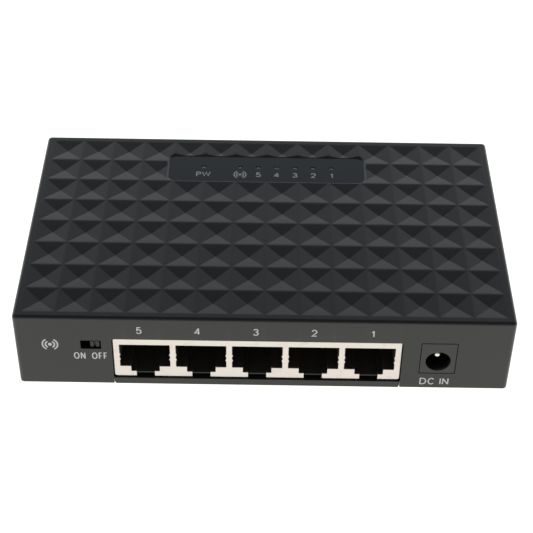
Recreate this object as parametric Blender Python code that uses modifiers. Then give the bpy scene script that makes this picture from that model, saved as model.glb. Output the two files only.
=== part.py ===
"""A five-port desktop network switch, built as the assembly that comes apart on a bench.

The upper shell carries the circuit board upside down under its lid, so the sockets, the slide
switch and the other parts hang below the board and the indicator lamps sit on its upper side. The
bottom cover closes the shell from below, and its front lip closes the gap under the sockets.

Frame: +Z up, the sockets face -Y, and the origin is under the middle of the case at the height of
the surface that its feet stand on. All sizes are in metres.
"""

import math

import bmesh
import bpy
from mathutils import Matrix, Vector

MM = 0.001

# Driving dimensions of the case
CASE_WIDTH = 122.8 * MM
CASE_DEPTH = 74.0 * MM
CASE_HEIGHT = 24.0 * MM
FOOT_DROP = 1.5 * MM
WALL = 2.0 * MM
LID = 2.2 * MM
LID_EDGE_RADIUS = 0.8 * MM
CORNER_RADIUS = 1.1 * MM
GAP = 0.3 * MM

FRONT = -CASE_DEPTH / 2
BACK = CASE_DEPTH / 2
SIDE = CASE_WIDTH / 2
LID_TOP = CASE_HEIGHT
LID_UNDER = LID_TOP - LID
FLOOR = FOOT_DROP
INNER_FRONT = FRONT + WALL

# Sunk pyramids that cover the lid
FACET_COLUMNS = 14
FACET_ROWS = 8
FACET_MARGIN = 1.9 * MM
FACET_DEPTH = 0.55 * MM
RIDGE_DROP = 0.02 * MM
FACET_WIDTH = (CASE_WIDTH - 2 * FACET_MARGIN) / FACET_COLUMNS
FACET_LENGTH = (CASE_DEPTH - 2 * FACET_MARGIN) / FACET_ROWS

# Smooth sunk strip round the indicator lamps: it takes the place of six facets
STRIP_COLUMNS = range(4, 10)
STRIP_ROW = 6
STRIP_DEPTH = 0.5 * MM
STRIP_OVERLAP_SIDE = 1.8 * MM
STRIP_OVERLAP_BACK = 3.4 * MM
STRIP_CORNER = 2.6 * MM
STRIP_SLOPE = 0.5 * MM
STRIP_FRONT = FRONT + FACET_MARGIN + STRIP_ROW * FACET_LENGTH
STRIP_BACK = STRIP_FRONT + FACET_LENGTH + STRIP_OVERLAP_BACK
STRIP_HALF = len(STRIP_COLUMNS) / 2 * FACET_WIDTH + STRIP_OVERLAP_SIDE

# Indicator lamps, from the power lamp on the left to port 1 on the right
LAMP_PITCH = 5.0 * MM
LAMP_MIDDLE = 0.25 * MM
LAMP_Y = FRONT + 61.3 * MM
LAMP_STEPS = {
    "power": -3.5,
    "link": -1.5,
    "port_5": -0.5,
    "port_4": 0.5,
    "port_3": 1.5,
    "port_2": 2.5,
    "port_1": 3.5,
}
LAMP_HOLE_RADIUS = 0.8 * MM
GUIDE_PEG_RADIUS = 0.62 * MM
LAMP_SIZE = Vector((1.25, 2.0, 0.8)) * MM

# Circuit board, parts side down
BOARD_UNDER = 17.2 * MM
BOARD_THICKNESS = 1.6 * MM
BOARD_TOP = BOARD_UNDER + BOARD_THICKNESS
BOARD_HALF_WIDTH = 50.8 * MM
BOARD_FRONT = INNER_FRONT + 0.8 * MM
BOARD_BACK = 29.0 * MM
HANG = BOARD_UNDER - GAP  # top of everything that hangs from the board

# Socket block: five sockets side by side in one metal shield
PORTS = 5
PORT_PITCH = 13.97 * MM
PORT_MIDDLE = -1.68 * MM
SHIELD_RECESS = 0.4 * MM
SHEET = 0.3 * MM
BLOCK_HALF = 35.6 * MM
BLOCK_LOW = 3.9 * MM
BLOCK_HIGH = 16.7 * MM
BLOCK_FRONT = FRONT + SHIELD_RECESS
BLOCK_BACK = BLOCK_FRONT + 18.4 * MM
PORT_WIDTH = 12.3 * MM
PORT_TOP = 14.65 * MM
PORT_SHELF = 7.3 * MM
PORT_STEP = 5.6 * MM
STEP_WIDTH = 7.1 * MM
LATCH_WIDTH = 4.5 * MM
LATCH_FLOOR = 4.9 * MM
CAVITY_DEPTH = 14.5 * MM
LATCH_RELIEF = 7.0 * MM
CONTACTS = 8
CONTACT_PITCH = 1.02 * MM
CONTACT_WIDTH = 0.45 * MM
CONTACT_THICKNESS = 0.3 * MM
INSERT_HALF = 4.9 * MM

# Power socket
POWER_X = 43.2 * MM
POWER_Z = 10.85 * MM
POWER_BORE_RADIUS = 3.1 * MM
POWER_BORE_DEPTH = 10.5 * MM
POWER_HALF_WIDTH = 4.4 * MM
POWER_LOW = 6.8 * MM
POWER_DEPTH = 14.0 * MM
POWER_PIN_RADIUS = 1.0 * MM
POWER_PIN_RECESS = 2.0 * MM

# Slide switch
SLOT_X = -42.75 * MM
SLOT_Z = 14.9 * MM
SLOT_WIDTH = 5.0 * MM
SLOT_HEIGHT = 2.65 * MM
KNOB_WIDTH = 2.3 * MM
KNOB_HEIGHT = 1.95 * MM
KNOB_TRAVEL = 2.0 * MM
KNOB_RECESS = 0.3 * MM
SWITCH_HALF_WIDTH = 4.3 * MM
SWITCH_LOW = 12.9 * MM
SWITCH_FRONT = INNER_FRONT + 0.4 * MM
SWITCH_BACK = SWITCH_FRONT + 3.6 * MM

# Fasteners and feet
COVER_SCREW_X = 54.6 * MM
COVER_SCREW_Y = 30.2 * MM
BOSS_RADIUS = 3.2 * MM
BOSS_LOW = 5.8 * MM
PAD_RADIUS = 4.2 * MM
PAD_TOP = 5.5 * MM
HEAD_RADIUS = 2.4 * MM
HEAD_POCKET_TOP = 4.1 * MM
BOARD_SCREW_X = 46.5 * MM
BOARD_SCREW_Y = 22.0 * MM
PEG_Y = -14.0 * MM
PEG_X = 47.2 * MM
PEG_RADIUS = 1.2 * MM
FOOT_X = 43.0 * MM
FOOT_Y = 26.0 * MM
FOOT_RADIUS = 4.5 * MM
FOOT_POCKET = 0.6 * MM

# Bottom cover
PLATE_TOP = FLOOR + 2.0 * MM
LIP_TOP = FLOOR + 2.05 * MM
LIP_NOTCH = 0.8 * MM
VENT_COUNT = 13
VENT_PITCH = 5.2 * MM
VENT_LENGTH = 24.0 * MM
VENT_HALF_WIDTH = 0.9 * MM
VENT_Y = 6.0 * MM

ROUND = 24  # sides of a round part
SMALL_ROUND = 12


# ---- Blender helpers ----


def clear_scene():
    for obj in list(bpy.data.objects):
        bpy.data.objects.remove(obj, do_unlink=True)


def add_collection(name, parent, hidden=False):
    collection = bpy.data.collections.new(name)
    collection.hide_render = hidden
    parent.children.link(collection)
    return collection


def add_material(name, colour, roughness, metallic=0.0):
    material = bpy.data.materials.new(name)
    material.use_nodes = True
    shader = material.node_tree.nodes["Principled BSDF"]
    shader.inputs["Base Color"].default_value = (*colour, 1.0)
    shader.inputs["Roughness"].default_value = roughness
    shader.inputs["Metallic"].default_value = metallic
    material.diffuse_color = (*colour, 1.0)
    return material


def place(name, mesh, location, collection, material=None):
    """A new object for this mesh. One with no material is a helper: a cutter or a shape to join."""
    obj = bpy.data.objects.new(name, mesh)
    obj.location = location
    collection.objects.link(obj)
    if material:
        mesh.materials.append(material)
    else:
        obj.hide_render = True
        obj.display_type = "WIRE"
    return obj


def mesh_from(bm, name, smooth=False):
    bmesh.ops.recalc_face_normals(bm, faces=bm.faces)
    mesh = bpy.data.meshes.new(name)
    bm.to_mesh(mesh)
    bm.free()
    if smooth:
        mesh.shade_smooth()
        mesh.set_sharp_from_angle(angle=math.radians(35))
    return mesh


def block(name, low, high, collection, material=None, edge=0.0):
    """A box between two corners, with its edges bevelled by edge."""
    low, high = Vector(low), Vector(high)
    bm = bmesh.new()
    bmesh.ops.create_cube(bm, size=1.0)
    bmesh.ops.scale(bm, vec=high - low, verts=bm.verts)
    if edge:
        bmesh.ops.bevel(
            bm, geom=bm.edges[:], offset=edge, segments=1, affect="EDGES", profile=0.5
        )
    return place(name, mesh_from(bm, name), (low + high) / 2, collection, material)


def rod(name, low, high, radius, collection, material=None, sides=ROUND, axis="Z"):
    """A cylinder from its low end to its high end, along Y or Z."""
    low, high = Vector(low), Vector(high)
    turn = Matrix.Rotation(math.pi / 2, 4, "X") if axis == "Y" else Matrix.Identity(4)
    bm = bmesh.new()
    bmesh.ops.create_cone(
        bm,
        cap_ends=True,
        segments=sides,
        radius1=radius,
        radius2=radius,
        depth=(high - low).length,
        matrix=turn,
    )
    mesh = mesh_from(bm, name, smooth=True)
    return place(name, mesh, (low + high) / 2, collection, material)


def turned(name, profile, location, collection, material=None, sides=ROUND, axis="Z"):
    """A turned part. The profile's (radius, height) points run down its outer side."""
    mesh = bpy.data.meshes.new(name)
    edges = [(i, i + 1) for i in range(len(profile) - 1)]
    mesh.from_pydata([(radius, 0, height) for radius, height in profile], edges, [])
    obj = place(name, mesh, location, collection, material)
    if axis == "Y":
        obj.rotation_euler = (math.pi / 2, 0, 0)
    screw = obj.modifiers.new("Turn", "SCREW")
    screw.steps = screw.render_steps = sides
    screw.use_merge_vertices = True
    screw.merge_threshold = 0.00001
    return obj


def prism(name, outline, low, high, axis, collection, material=None):
    """A flat outline given depth. Along Y the outline is (x, z), along X (y, z), along Z (x, y)."""
    curve = bpy.data.curves.new(name, "CURVE")
    curve.dimensions = "2D"
    curve.fill_mode = "BOTH"
    curve.extrude = (high - low) / 2
    spline = curve.splines.new("POLY")
    spline.points.add(len(outline) - 1)
    for point, (across, up) in zip(spline.points, outline):
        point.co = (across, up, 0, 1)
    spline.use_cyclic_u = True
    flat = bpy.data.objects.new(name, curve)
    middle = (low + high) / 2
    if axis == "Y":
        flat.rotation_euler = (math.pi / 2, 0, 0)
        flat.location = (0, middle, 0)
    elif axis == "X":
        flat.rotation_euler = (math.pi / 2, 0, math.pi / 2)
        flat.location = (middle, 0, 0)
    else:
        flat.location = (0, 0, middle)
    collection.objects.link(flat)
    bpy.context.view_layer.update()
    evaluated = flat.evaluated_get(bpy.context.evaluated_depsgraph_get())
    bm = bmesh.new()
    bm.from_mesh(bpy.data.meshes.new_from_object(evaluated))
    bmesh.ops.remove_doubles(bm, verts=bm.verts, dist=1e-7)
    placed = flat.matrix_world.copy()
    bpy.data.objects.remove(flat)
    obj = place(name, mesh_from(bm, name), (0, 0, 0), collection, material)
    obj.matrix_world = placed
    return obj


def combine(obj, operation, helpers):
    """Cuts helpers out of obj, or joins them to it. The modifier stays live."""
    boolean = obj.modifiers.new(operation.title(), "BOOLEAN")
    boolean.operation = operation
    boolean.solver = "EXACT"
    if isinstance(helpers, bpy.types.Collection):
        boolean.operand_type = "COLLECTION"
        boolean.collection = helpers
    else:
        boolean.object = helpers
    return obj


def rectangle_outline(half_width, low, high, middle, radius, steps=4):
    """A rectangle with round corners, counter-clockwise from its lower right corner."""
    corners = [
        (middle + half_width - radius, low + radius, -90),
        (middle + half_width - radius, high - radius, 0),
        (middle - half_width + radius, high - radius, 90),
        (middle - half_width + radius, low + radius, 180),
    ]
    outline = []
    for x, y, start in corners:
        for step in range(steps + 1):
            angle = math.radians(start + 90 * step / steps)
            outline.append((x + radius * math.cos(angle), y + radius * math.sin(angle)))
    return outline


def corners_of(half_x, half_y):
    """The four corner positions, each with a name."""
    return {
        f"{'front' if sy < 0 else 'back'}_{'left' if sx < 0 else 'right'}": (
            sx * half_x,
            sy * half_y,
        )
        for sy in (-1, 1)
        for sx in (-1, 1)
    }


def port_x(port):
    """The middle of a port. Port 5 is on the left and port 1 on the right."""
    return PORT_MIDDLE + ((PORTS + 1) / 2 - port) * PORT_PITCH


def lamp_x(name):
    return LAMP_MIDDLE + LAMP_STEPS[name] * LAMP_PITCH


# ---- Case ----


def case_block():
    """The shell's outer shape: round upright corners, a round lid edge and a sharp lower edge."""
    bm = bmesh.new()
    bmesh.ops.create_cube(bm, size=1.0)
    size = Vector((CASE_WIDTH, CASE_DEPTH, CASE_HEIGHT - FLOOR))
    bmesh.ops.scale(bm, vec=size, verts=bm.verts)
    upright = [e for e in bm.edges if e.verts[0].co.z * e.verts[1].co.z < 0]
    bmesh.ops.bevel(
        bm,
        geom=upright,
        offset=CORNER_RADIUS,
        segments=4,
        affect="EDGES",
        profile=0.5,
    )
    top = size.z / 2 - 1e-6
    rim = [e for e in bm.edges if all(v.co.z > top for v in e.verts)]
    bmesh.ops.bevel(
        bm, geom=rim, offset=LID_EDGE_RADIUS, segments=4, affect="EDGES", profile=0.5
    )
    middle = (0, 0, (CASE_HEIGHT + FLOOR) / 2)
    return middle, mesh_from(bm, "top_cover", smooth=True)


def facet_cutter(cutters):
    """What the lid's pattern leaves out: a slab whose underside hangs down in one pyramid a cell."""
    bm = bmesh.new()
    bmesh.ops.create_grid(
        bm, x_segments=FACET_COLUMNS, y_segments=FACET_ROWS, size=0.5
    )
    span = Vector((FACET_COLUMNS * FACET_WIDTH, FACET_ROWS * FACET_LENGTH, 1.0))
    bmesh.ops.scale(bm, vec=span, verts=bm.verts)
    plain = []
    for face in bm.faces:
        middle = face.calc_center_median()
        column = int((middle.x + span.x / 2) / FACET_WIDTH)
        row = int((middle.y + span.y / 2) / FACET_LENGTH)
        if row == STRIP_ROW and column in STRIP_COLUMNS:
            plain.append(face)
    sunk = [face for face in bm.faces if face not in plain]
    bmesh.ops.poke(bm, faces=sunk, offset=-FACET_DEPTH)
    upper = bmesh.ops.extrude_face_region(bm, geom=bm.faces[:])["geom"]
    lifted = [item for item in upper if isinstance(item, bmesh.types.BMVert)]
    for vert in lifted:
        vert.co.z = 2 * MM
    bmesh.ops.dissolve_limit(
        bm,
        angle_limit=math.radians(1),
        verts=lifted,
        edges=[e for e in bm.edges if all(v.co.z > MM for v in e.verts)],
    )
    return place(
        "facet_cutter",
        mesh_from(bm, "facet_cutter"),
        (0, 0, LID_TOP - RIDGE_DROP),
        cutters,
    )


def strip_cutter(cutters):
    """The lamp strip's pocket, wider at its mouth than at its floor."""
    outline = rectangle_outline(STRIP_HALF, STRIP_FRONT, STRIP_BACK, 0, STRIP_CORNER)
    height = 2 * MM
    cutter = prism(
        "strip_cutter",
        outline,
        LID_TOP - STRIP_DEPTH,
        LID_TOP - STRIP_DEPTH + height,
        "Z",
        cutters,
    )
    middle = (STRIP_FRONT + STRIP_BACK) / 2
    shrink_x = 1 - STRIP_SLOPE / STRIP_HALF
    shrink_y = 1 - STRIP_SLOPE / ((STRIP_BACK - STRIP_FRONT) / 2)
    spread = (height - STRIP_DEPTH) / STRIP_DEPTH
    for vert in cutter.data.vertices:
        step = -1 if vert.co.z < 0 else spread
        vert.co.x *= 1 - step * (shrink_x - 1)
        vert.co.y = middle + (vert.co.y - middle) * (1 - step * (shrink_y - 1))
    return cutter


def make_top_cover(parts, cutters, material):
    middle, mesh = case_block()
    cover = place("top_cover", mesh, middle, parts, material)
    hollow = block(
        "case_hollow",
        (-SIDE + WALL, INNER_FRONT, FLOOR - MM),
        (SIDE - WALL, BACK - WALL, LID_UNDER),
        cutters,
    )
    combine(cover, "DIFFERENCE", hollow)

    posts = add_collection("cover_posts", cutters, hidden=True)
    inside_lid = LID_UNDER + 0.5 * MM
    for corner, (x, y) in corners_of(COVER_SCREW_X, COVER_SCREW_Y).items():
        rod(f"boss_{corner}", (x, y, BOSS_LOW), (x, y, inside_lid), BOSS_RADIUS, posts)
    for side in (-1, 1):
        x, y = side * BOARD_SCREW_X, BOARD_SCREW_Y
        low = BOARD_TOP + GAP
        rod(f"board_boss_{side}", (x, y, low), (x, y, inside_lid), BOSS_RADIUS, posts)
        x, y = side * PEG_X, PEG_Y
        rod(f"shoulder_{side}", (x, y, low), (x, y, inside_lid), 2.2 * MM, posts)
        low = BOARD_UNDER - 1.2 * MM
        high = BOARD_TOP + 2 * GAP
        rod(f"peg_{side}", (x, y, low), (x, y, high), PEG_RADIUS, posts, None, SMALL_ROUND)
    combine(cover, "UNION", posts)

    openings = add_collection("cover_openings", cutters, hidden=True)
    for corner, (x, y) in corners_of(COVER_SCREW_X, COVER_SCREW_Y).items():
        low, high = (x, y, BOSS_LOW - MM), (x, y, 15 * MM)
        rod(f"pilot_{corner}", low, high, 1.6 * MM, openings, None, SMALL_ROUND)
    for side in (-1, 1):
        x, y = side * BOARD_SCREW_X, BOARD_SCREW_Y
        low, high = (x, y, BOARD_TOP - MM), (x, y, LID_UNDER)
        rod(f"board_pilot_{side}", low, high, 1.4 * MM, openings, None, SMALL_ROUND)
    for lamp in LAMP_STEPS:
        low = (lamp_x(lamp), LAMP_Y, LID_UNDER - MM)
        high = (lamp_x(lamp), LAMP_Y, LID_TOP + MM)
        rod(f"hole_{lamp}", low, high, LAMP_HOLE_RADIUS, openings, None, SMALL_ROUND)
    through_front = (FRONT - MM, INNER_FRONT + MM)
    block(
        "slot_opening",
        (SLOT_X - SLOT_WIDTH / 2, through_front[0], SLOT_Z - SLOT_HEIGHT / 2),
        (SLOT_X + SLOT_WIDTH / 2, through_front[1], SLOT_Z + SLOT_HEIGHT / 2),
        openings,
    )
    block(
        "socket_opening",
        (PORT_MIDDLE - BLOCK_HALF - GAP, through_front[0], FLOOR - MM),
        (PORT_MIDDLE + BLOCK_HALF + GAP, through_front[1], BLOCK_HIGH + GAP),
        openings,
    )
    block(
        "power_opening",
        (POWER_X - POWER_HALF_WIDTH - GAP, through_front[0], POWER_LOW - GAP),
        (POWER_X + POWER_HALF_WIDTH + GAP, through_front[1], HANG + GAP),
        openings,
    )
    combine(cover, "DIFFERENCE", openings)
    combine(cover, "DIFFERENCE", facet_cutter(cutters))
    combine(cover, "DIFFERENCE", strip_cutter(cutters))


def make_bottom_cover(parts, cutters, material):
    """The floor plate with its screw pads, and the lip that shows under the sockets."""
    clear = GAP + WALL
    cover = block(
        "bottom_cover",
        (-SIDE + clear, FRONT + clear, FLOOR),
        (SIDE - clear, BACK - clear, PLATE_TOP),
        parts,
        material,
    )
    joined = add_collection("bottom_joined", cutters, hidden=True)
    left = PORT_MIDDLE - BLOCK_HALF
    right = PORT_MIDDLE + BLOCK_HALF
    notch = 0.5 * MM
    lip = [
        (left + notch, FLOOR),
        (right - notch, FLOOR),
        (right, FLOOR + LIP_NOTCH),
        (right, LIP_TOP),
        (left, LIP_TOP),
        (left, FLOOR + LIP_NOTCH),
    ]
    prism("lip", lip, FRONT, FRONT + clear + MM, "Y", joined)
    for corner, (x, y) in corners_of(COVER_SCREW_X, COVER_SCREW_Y).items():
        low, high = (x, y, FLOOR + 0.5 * MM), (x, y, PAD_TOP)
        rod(f"pad_{corner}", low, high, PAD_RADIUS, joined)
    combine(cover, "UNION", joined)

    holes = add_collection("bottom_holes", cutters, hidden=True)
    for corner, (x, y) in corners_of(COVER_SCREW_X, COVER_SCREW_Y).items():
        low, high = (x, y, FLOOR - MM), (x, y, HEAD_POCKET_TOP)
        rod(f"head_pocket_{corner}", low, high, HEAD_RADIUS + GAP, holes)
        low, high = (x, y, FLOOR), (x, y, PAD_TOP + MM)
        rod(f"screw_hole_{corner}", low, high, 1.7 * MM, holes, None, SMALL_ROUND)
    for corner, (x, y) in corners_of(FOOT_X, FOOT_Y).items():
        low, high = (x, y, FLOOR - MM), (x, y, FLOOR + FOOT_POCKET)
        rod(f"foot_pocket_{corner}", low, high, FOOT_RADIUS + GAP, holes)
    for vent in range(VENT_COUNT):
        x = (vent - (VENT_COUNT - 1) / 2) * VENT_PITCH
        slot = rectangle_outline(
            VENT_HALF_WIDTH,
            VENT_Y - VENT_LENGTH / 2,
            VENT_Y + VENT_LENGTH / 2,
            x,
            VENT_HALF_WIDTH - 0.01 * MM,
            steps=3,
        )
        prism(f"vent_{vent}", slot, FLOOR - MM, PLATE_TOP + MM, "Z", holes)
    combine(cover, "DIFFERENCE", holes)


def make_feet(parts, material):
    """Soft discs in shallow pockets under the bottom cover."""
    top = FLOOR + FOOT_POCKET - GAP
    edge = 0.4 * MM
    profile = [
        (0, top),
        (FOOT_RADIUS, top),
        (FOOT_RADIUS, edge),
        (FOOT_RADIUS - edge, 0),
        (0, 0),
    ]
    for corner, (x, y) in corners_of(FOOT_X, FOOT_Y).items():
        turned(f"foot_{corner}", profile, (x, y, 0), parts, material)


def screw_profile(head_radius, head_height, shank_radius, length):
    """A round-headed screw, point up, with its head's underside at height 0."""
    crown = [
        (head_radius * math.cos(a), -head_height * (0.5 + 0.5 * math.sin(a)))
        for a in (0, math.radians(30), math.radians(60))
    ]
    return [
        (0, length),
        (shank_radius * 0.3, length),
        (shank_radius, length - 1.2 * MM),
        (shank_radius, 0),
        (head_radius, 0),
        *crown,
        (0, -head_height),
    ]


def make_screw(name, x, y, seat, head, shank, parts, cutters, material):
    """head is (radius, height) and shank is (radius, length). The head has a cross recess."""
    profile = screw_profile(head[0], head[1], shank[0], shank[1])
    screw = turned(name, profile, (x, y, seat), parts, material, SMALL_ROUND * 2)
    recess = add_collection(f"{name}_recess", cutters, hidden=True)
    long, short = head[0] * 0.62, 0.28 * MM
    low, high = seat - head[1] - 0.5 * MM, seat - head[1] * 0.4
    block(f"{name}_bar", (x - long, y - short, low), (x + long, y + short, high), recess)
    block(f"{name}_rib", (x - short, y - long, low), (x + short, y + long, high), recess)
    combine(screw, "DIFFERENCE", recess)


def make_screws(parts, cutters, material):
    for corner, (x, y) in corners_of(COVER_SCREW_X, COVER_SCREW_Y).items():
        seat = HEAD_POCKET_TOP - 0.2 * MM
        head, shank = (HEAD_RADIUS, 1.6 * MM), (1.3 * MM, 9.5 * MM)
        make_screw(f"cover_screw_{corner}", x, y, seat, head, shank, parts, cutters, material)
    for side, word in ((-1, "left"), (1, "right")):
        x, y = side * BOARD_SCREW_X, BOARD_SCREW_Y
        head, shank = (2.2 * MM, 1.4 * MM), (1.1 * MM, 4.2 * MM)
        make_screw(f"board_screw_{word}", x, y, HANG, head, shank, parts, cutters, material)


# ---- Board and lamps ----


def make_board(parts, cutters, material):
    outline = rectangle_outline(BOARD_HALF_WIDTH, BOARD_FRONT, BOARD_BACK, 0, 1.5 * MM)
    board = prism("main_board", outline, BOARD_UNDER, BOARD_TOP, "Z", parts, material)
    holes = add_collection("board_holes", cutters, hidden=True)
    low, high = BOARD_UNDER - MM, BOARD_TOP + MM
    for side in (-1, 1):
        x, y = side * BOARD_SCREW_X, BOARD_SCREW_Y
        rod(f"screw_way_{side}", (x, y, low), (x, y, high), 1.5 * MM, holes)
        x, y = side * PEG_X, PEG_Y
        rod(f"peg_way_{side}", (x, y, low), (x, y, high), PEG_RADIUS + GAP, holes)
    combine(board, "DIFFERENCE", holes)


def make_lamps(parts, material):
    for name in LAMP_STEPS:
        low = Vector((lamp_x(name), LAMP_Y, BOARD_TOP + GAP))
        low -= Vector((LAMP_SIZE.x / 2, LAMP_SIZE.y / 2, 0))
        block(f"led_{name}", low, low + LAMP_SIZE, parts, material, edge=0.15 * MM)


def make_light_guide(parts, cutters, material):
    """A clear bar under the lid, with a peg that fills each lamp's hole."""
    low_z = BOARD_TOP + LAMP_SIZE.z + 2 * GAP
    high_z = LID_UNDER - GAP
    half_length = 21.0 * MM
    half_width = 1.5 * MM
    guide = block(
        "light_guide",
        (LAMP_MIDDLE - half_length, LAMP_Y - half_width, low_z),
        (LAMP_MIDDLE + half_length, LAMP_Y + half_width, high_z),
        parts,
        material,
    )
    pegs = add_collection("guide_pegs", cutters, hidden=True)
    peg_top = LID_TOP - STRIP_DEPTH - 0.05 * MM
    for name in LAMP_STEPS:
        x = lamp_x(name)
        low, high = (x, LAMP_Y, high_z - 0.5 * MM), (x, LAMP_Y, peg_top)
        rod(f"peg_{name}", low, high, GUIDE_PEG_RADIUS, pegs, None, SMALL_ROUND)
    combine(guide, "UNION", pegs)


# ---- Sockets ----


def port_outline(middle, floor):
    """A socket's mouth seen from the front: a wide body, a step, and the latch's channel below."""
    half, step, latch = PORT_WIDTH / 2, STEP_WIDTH / 2, LATCH_WIDTH / 2
    right = [
        (latch, floor),
        (latch, PORT_STEP),
        (step, PORT_STEP),
        (step, PORT_SHELF),
        (half, PORT_SHELF),
        (half, PORT_TOP),
    ]
    left = [(-x, z) for x, z in reversed(right)]
    return [(middle + x, z) for x, z in right + left]


def make_shield(parts, cutters, material):
    """Folded sheet round the socket block: front, floor, sides and back, open to the board."""
    left, right = PORT_MIDDLE - BLOCK_HALF, PORT_MIDDLE + BLOCK_HALF
    outline = rectangle_outline(BLOCK_HALF, BLOCK_LOW, BLOCK_HIGH, PORT_MIDDLE, 0.7 * MM)
    shield = prism("jack_shield", outline, BLOCK_FRONT, BLOCK_BACK, "Y", parts, material)
    cuts = add_collection("shield_cuts", cutters, hidden=True)
    block(
        "shield_hollow",
        (left + SHEET, BLOCK_FRONT + SHEET, BLOCK_LOW + SHEET),
        (right - SHEET, BLOCK_BACK - SHEET, BLOCK_HIGH + MM),
        cuts,
    )
    for port in range(1, PORTS + 1):
        mouth = port_outline(port_x(port), BLOCK_LOW - MM)
        front, back = BLOCK_FRONT - MM, BLOCK_FRONT + SHEET + 0.1 * MM
        prism(f"shield_mouth_{port}", mouth, front, back, "Y", cuts)
        block(
            f"latch_relief_{port}",
            (port_x(port) - LATCH_WIDTH / 2, BLOCK_FRONT - MM, BLOCK_LOW - MM),
            (port_x(port) + LATCH_WIDTH / 2, BLOCK_FRONT + LATCH_RELIEF, BLOCK_LOW + 0.5 * MM),
            cuts,
        )
    combine(shield, "DIFFERENCE", cuts)


def make_jack_housing(parts, cutters, material):
    inset = SHEET + GAP
    left, right = PORT_MIDDLE - BLOCK_HALF + inset, PORT_MIDDLE + BLOCK_HALF - inset
    front, back = BLOCK_FRONT + inset, BLOCK_BACK - inset
    housing = block(
        "jack_housing",
        (left, front, BLOCK_LOW + inset),
        (right, back, BLOCK_HIGH),
        parts,
        material,
    )
    cuts = add_collection("housing_cuts", cutters, hidden=True)
    for port in range(1, PORTS + 1):
        mouth = port_outline(port_x(port), LATCH_FLOOR)
        prism(f"cavity_{port}", mouth, front - MM, front + CAVITY_DEPTH, "Y", cuts)
        half = INSERT_HALF + GAP
        block(
            f"insert_pocket_{port}",
            (port_x(port) - half, front + 2.2 * MM, PORT_TOP - 0.5 * MM),
            (port_x(port) + half, back + MM, BLOCK_HIGH + MM),
            cuts,
        )
    combine(housing, "DIFFERENCE", cuts)


def contact_outline():
    """A sprung contact from the side: it leaves the insert at the front, folds back and hangs."""
    t = CONTACT_THICKNESS
    start = BLOCK_FRONT + 3.6 * MM
    base = PORT_TOP + 0.4 * MM
    upper = [
        (start + 5.0 * MM, base + 0.6 * MM),
        (start + 5.0 * MM, base),
        (start + 1.6 * MM, base),
        (start + 1.2 * MM, base - 0.5 * MM),
        (start + 6.6 * MM, base - 2.4 * MM),
        (start + 9.4 * MM, base - 2.7 * MM),
    ]
    lower = [
        (start + 9.4 * MM, base - 2.7 * MM - t),
        (start + 6.5 * MM, base - 2.4 * MM - t),
        (start + 0.8 * MM, base - 0.7 * MM),
        (start + 0.8 * MM, base + 0.2 * MM),
        (start + 1.4 * MM, base + 0.6 * MM),
    ]
    return upper + lower


def make_contacts(parts, cutters, material):
    """One insert for each port: a moulded plate that carries eight sprung contacts."""
    front = BLOCK_FRONT + SHEET + GAP + 2.2 * MM + GAP
    back = BLOCK_BACK - SHEET - GAP
    for port in range(1, PORTS + 1):
        middle = port_x(port)
        insert = block(
            f"contact_set_{port}",
            (middle - INSERT_HALF, front, PORT_TOP + 0.2 * MM),
            (middle + INSERT_HALF, back, BLOCK_HIGH - 0.1 * MM),
            parts,
            material,
        )
        springs = add_collection(f"springs_{port}", cutters, hidden=True)
        for contact in range(CONTACTS):
            x = middle + (contact - (CONTACTS - 1) / 2) * CONTACT_PITCH
            low, high = x - CONTACT_WIDTH / 2, x + CONTACT_WIDTH / 2
            prism(f"spring_{port}_{contact}", contact_outline(), low, high, "X", springs)
        combine(insert, "UNION", springs)


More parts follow.
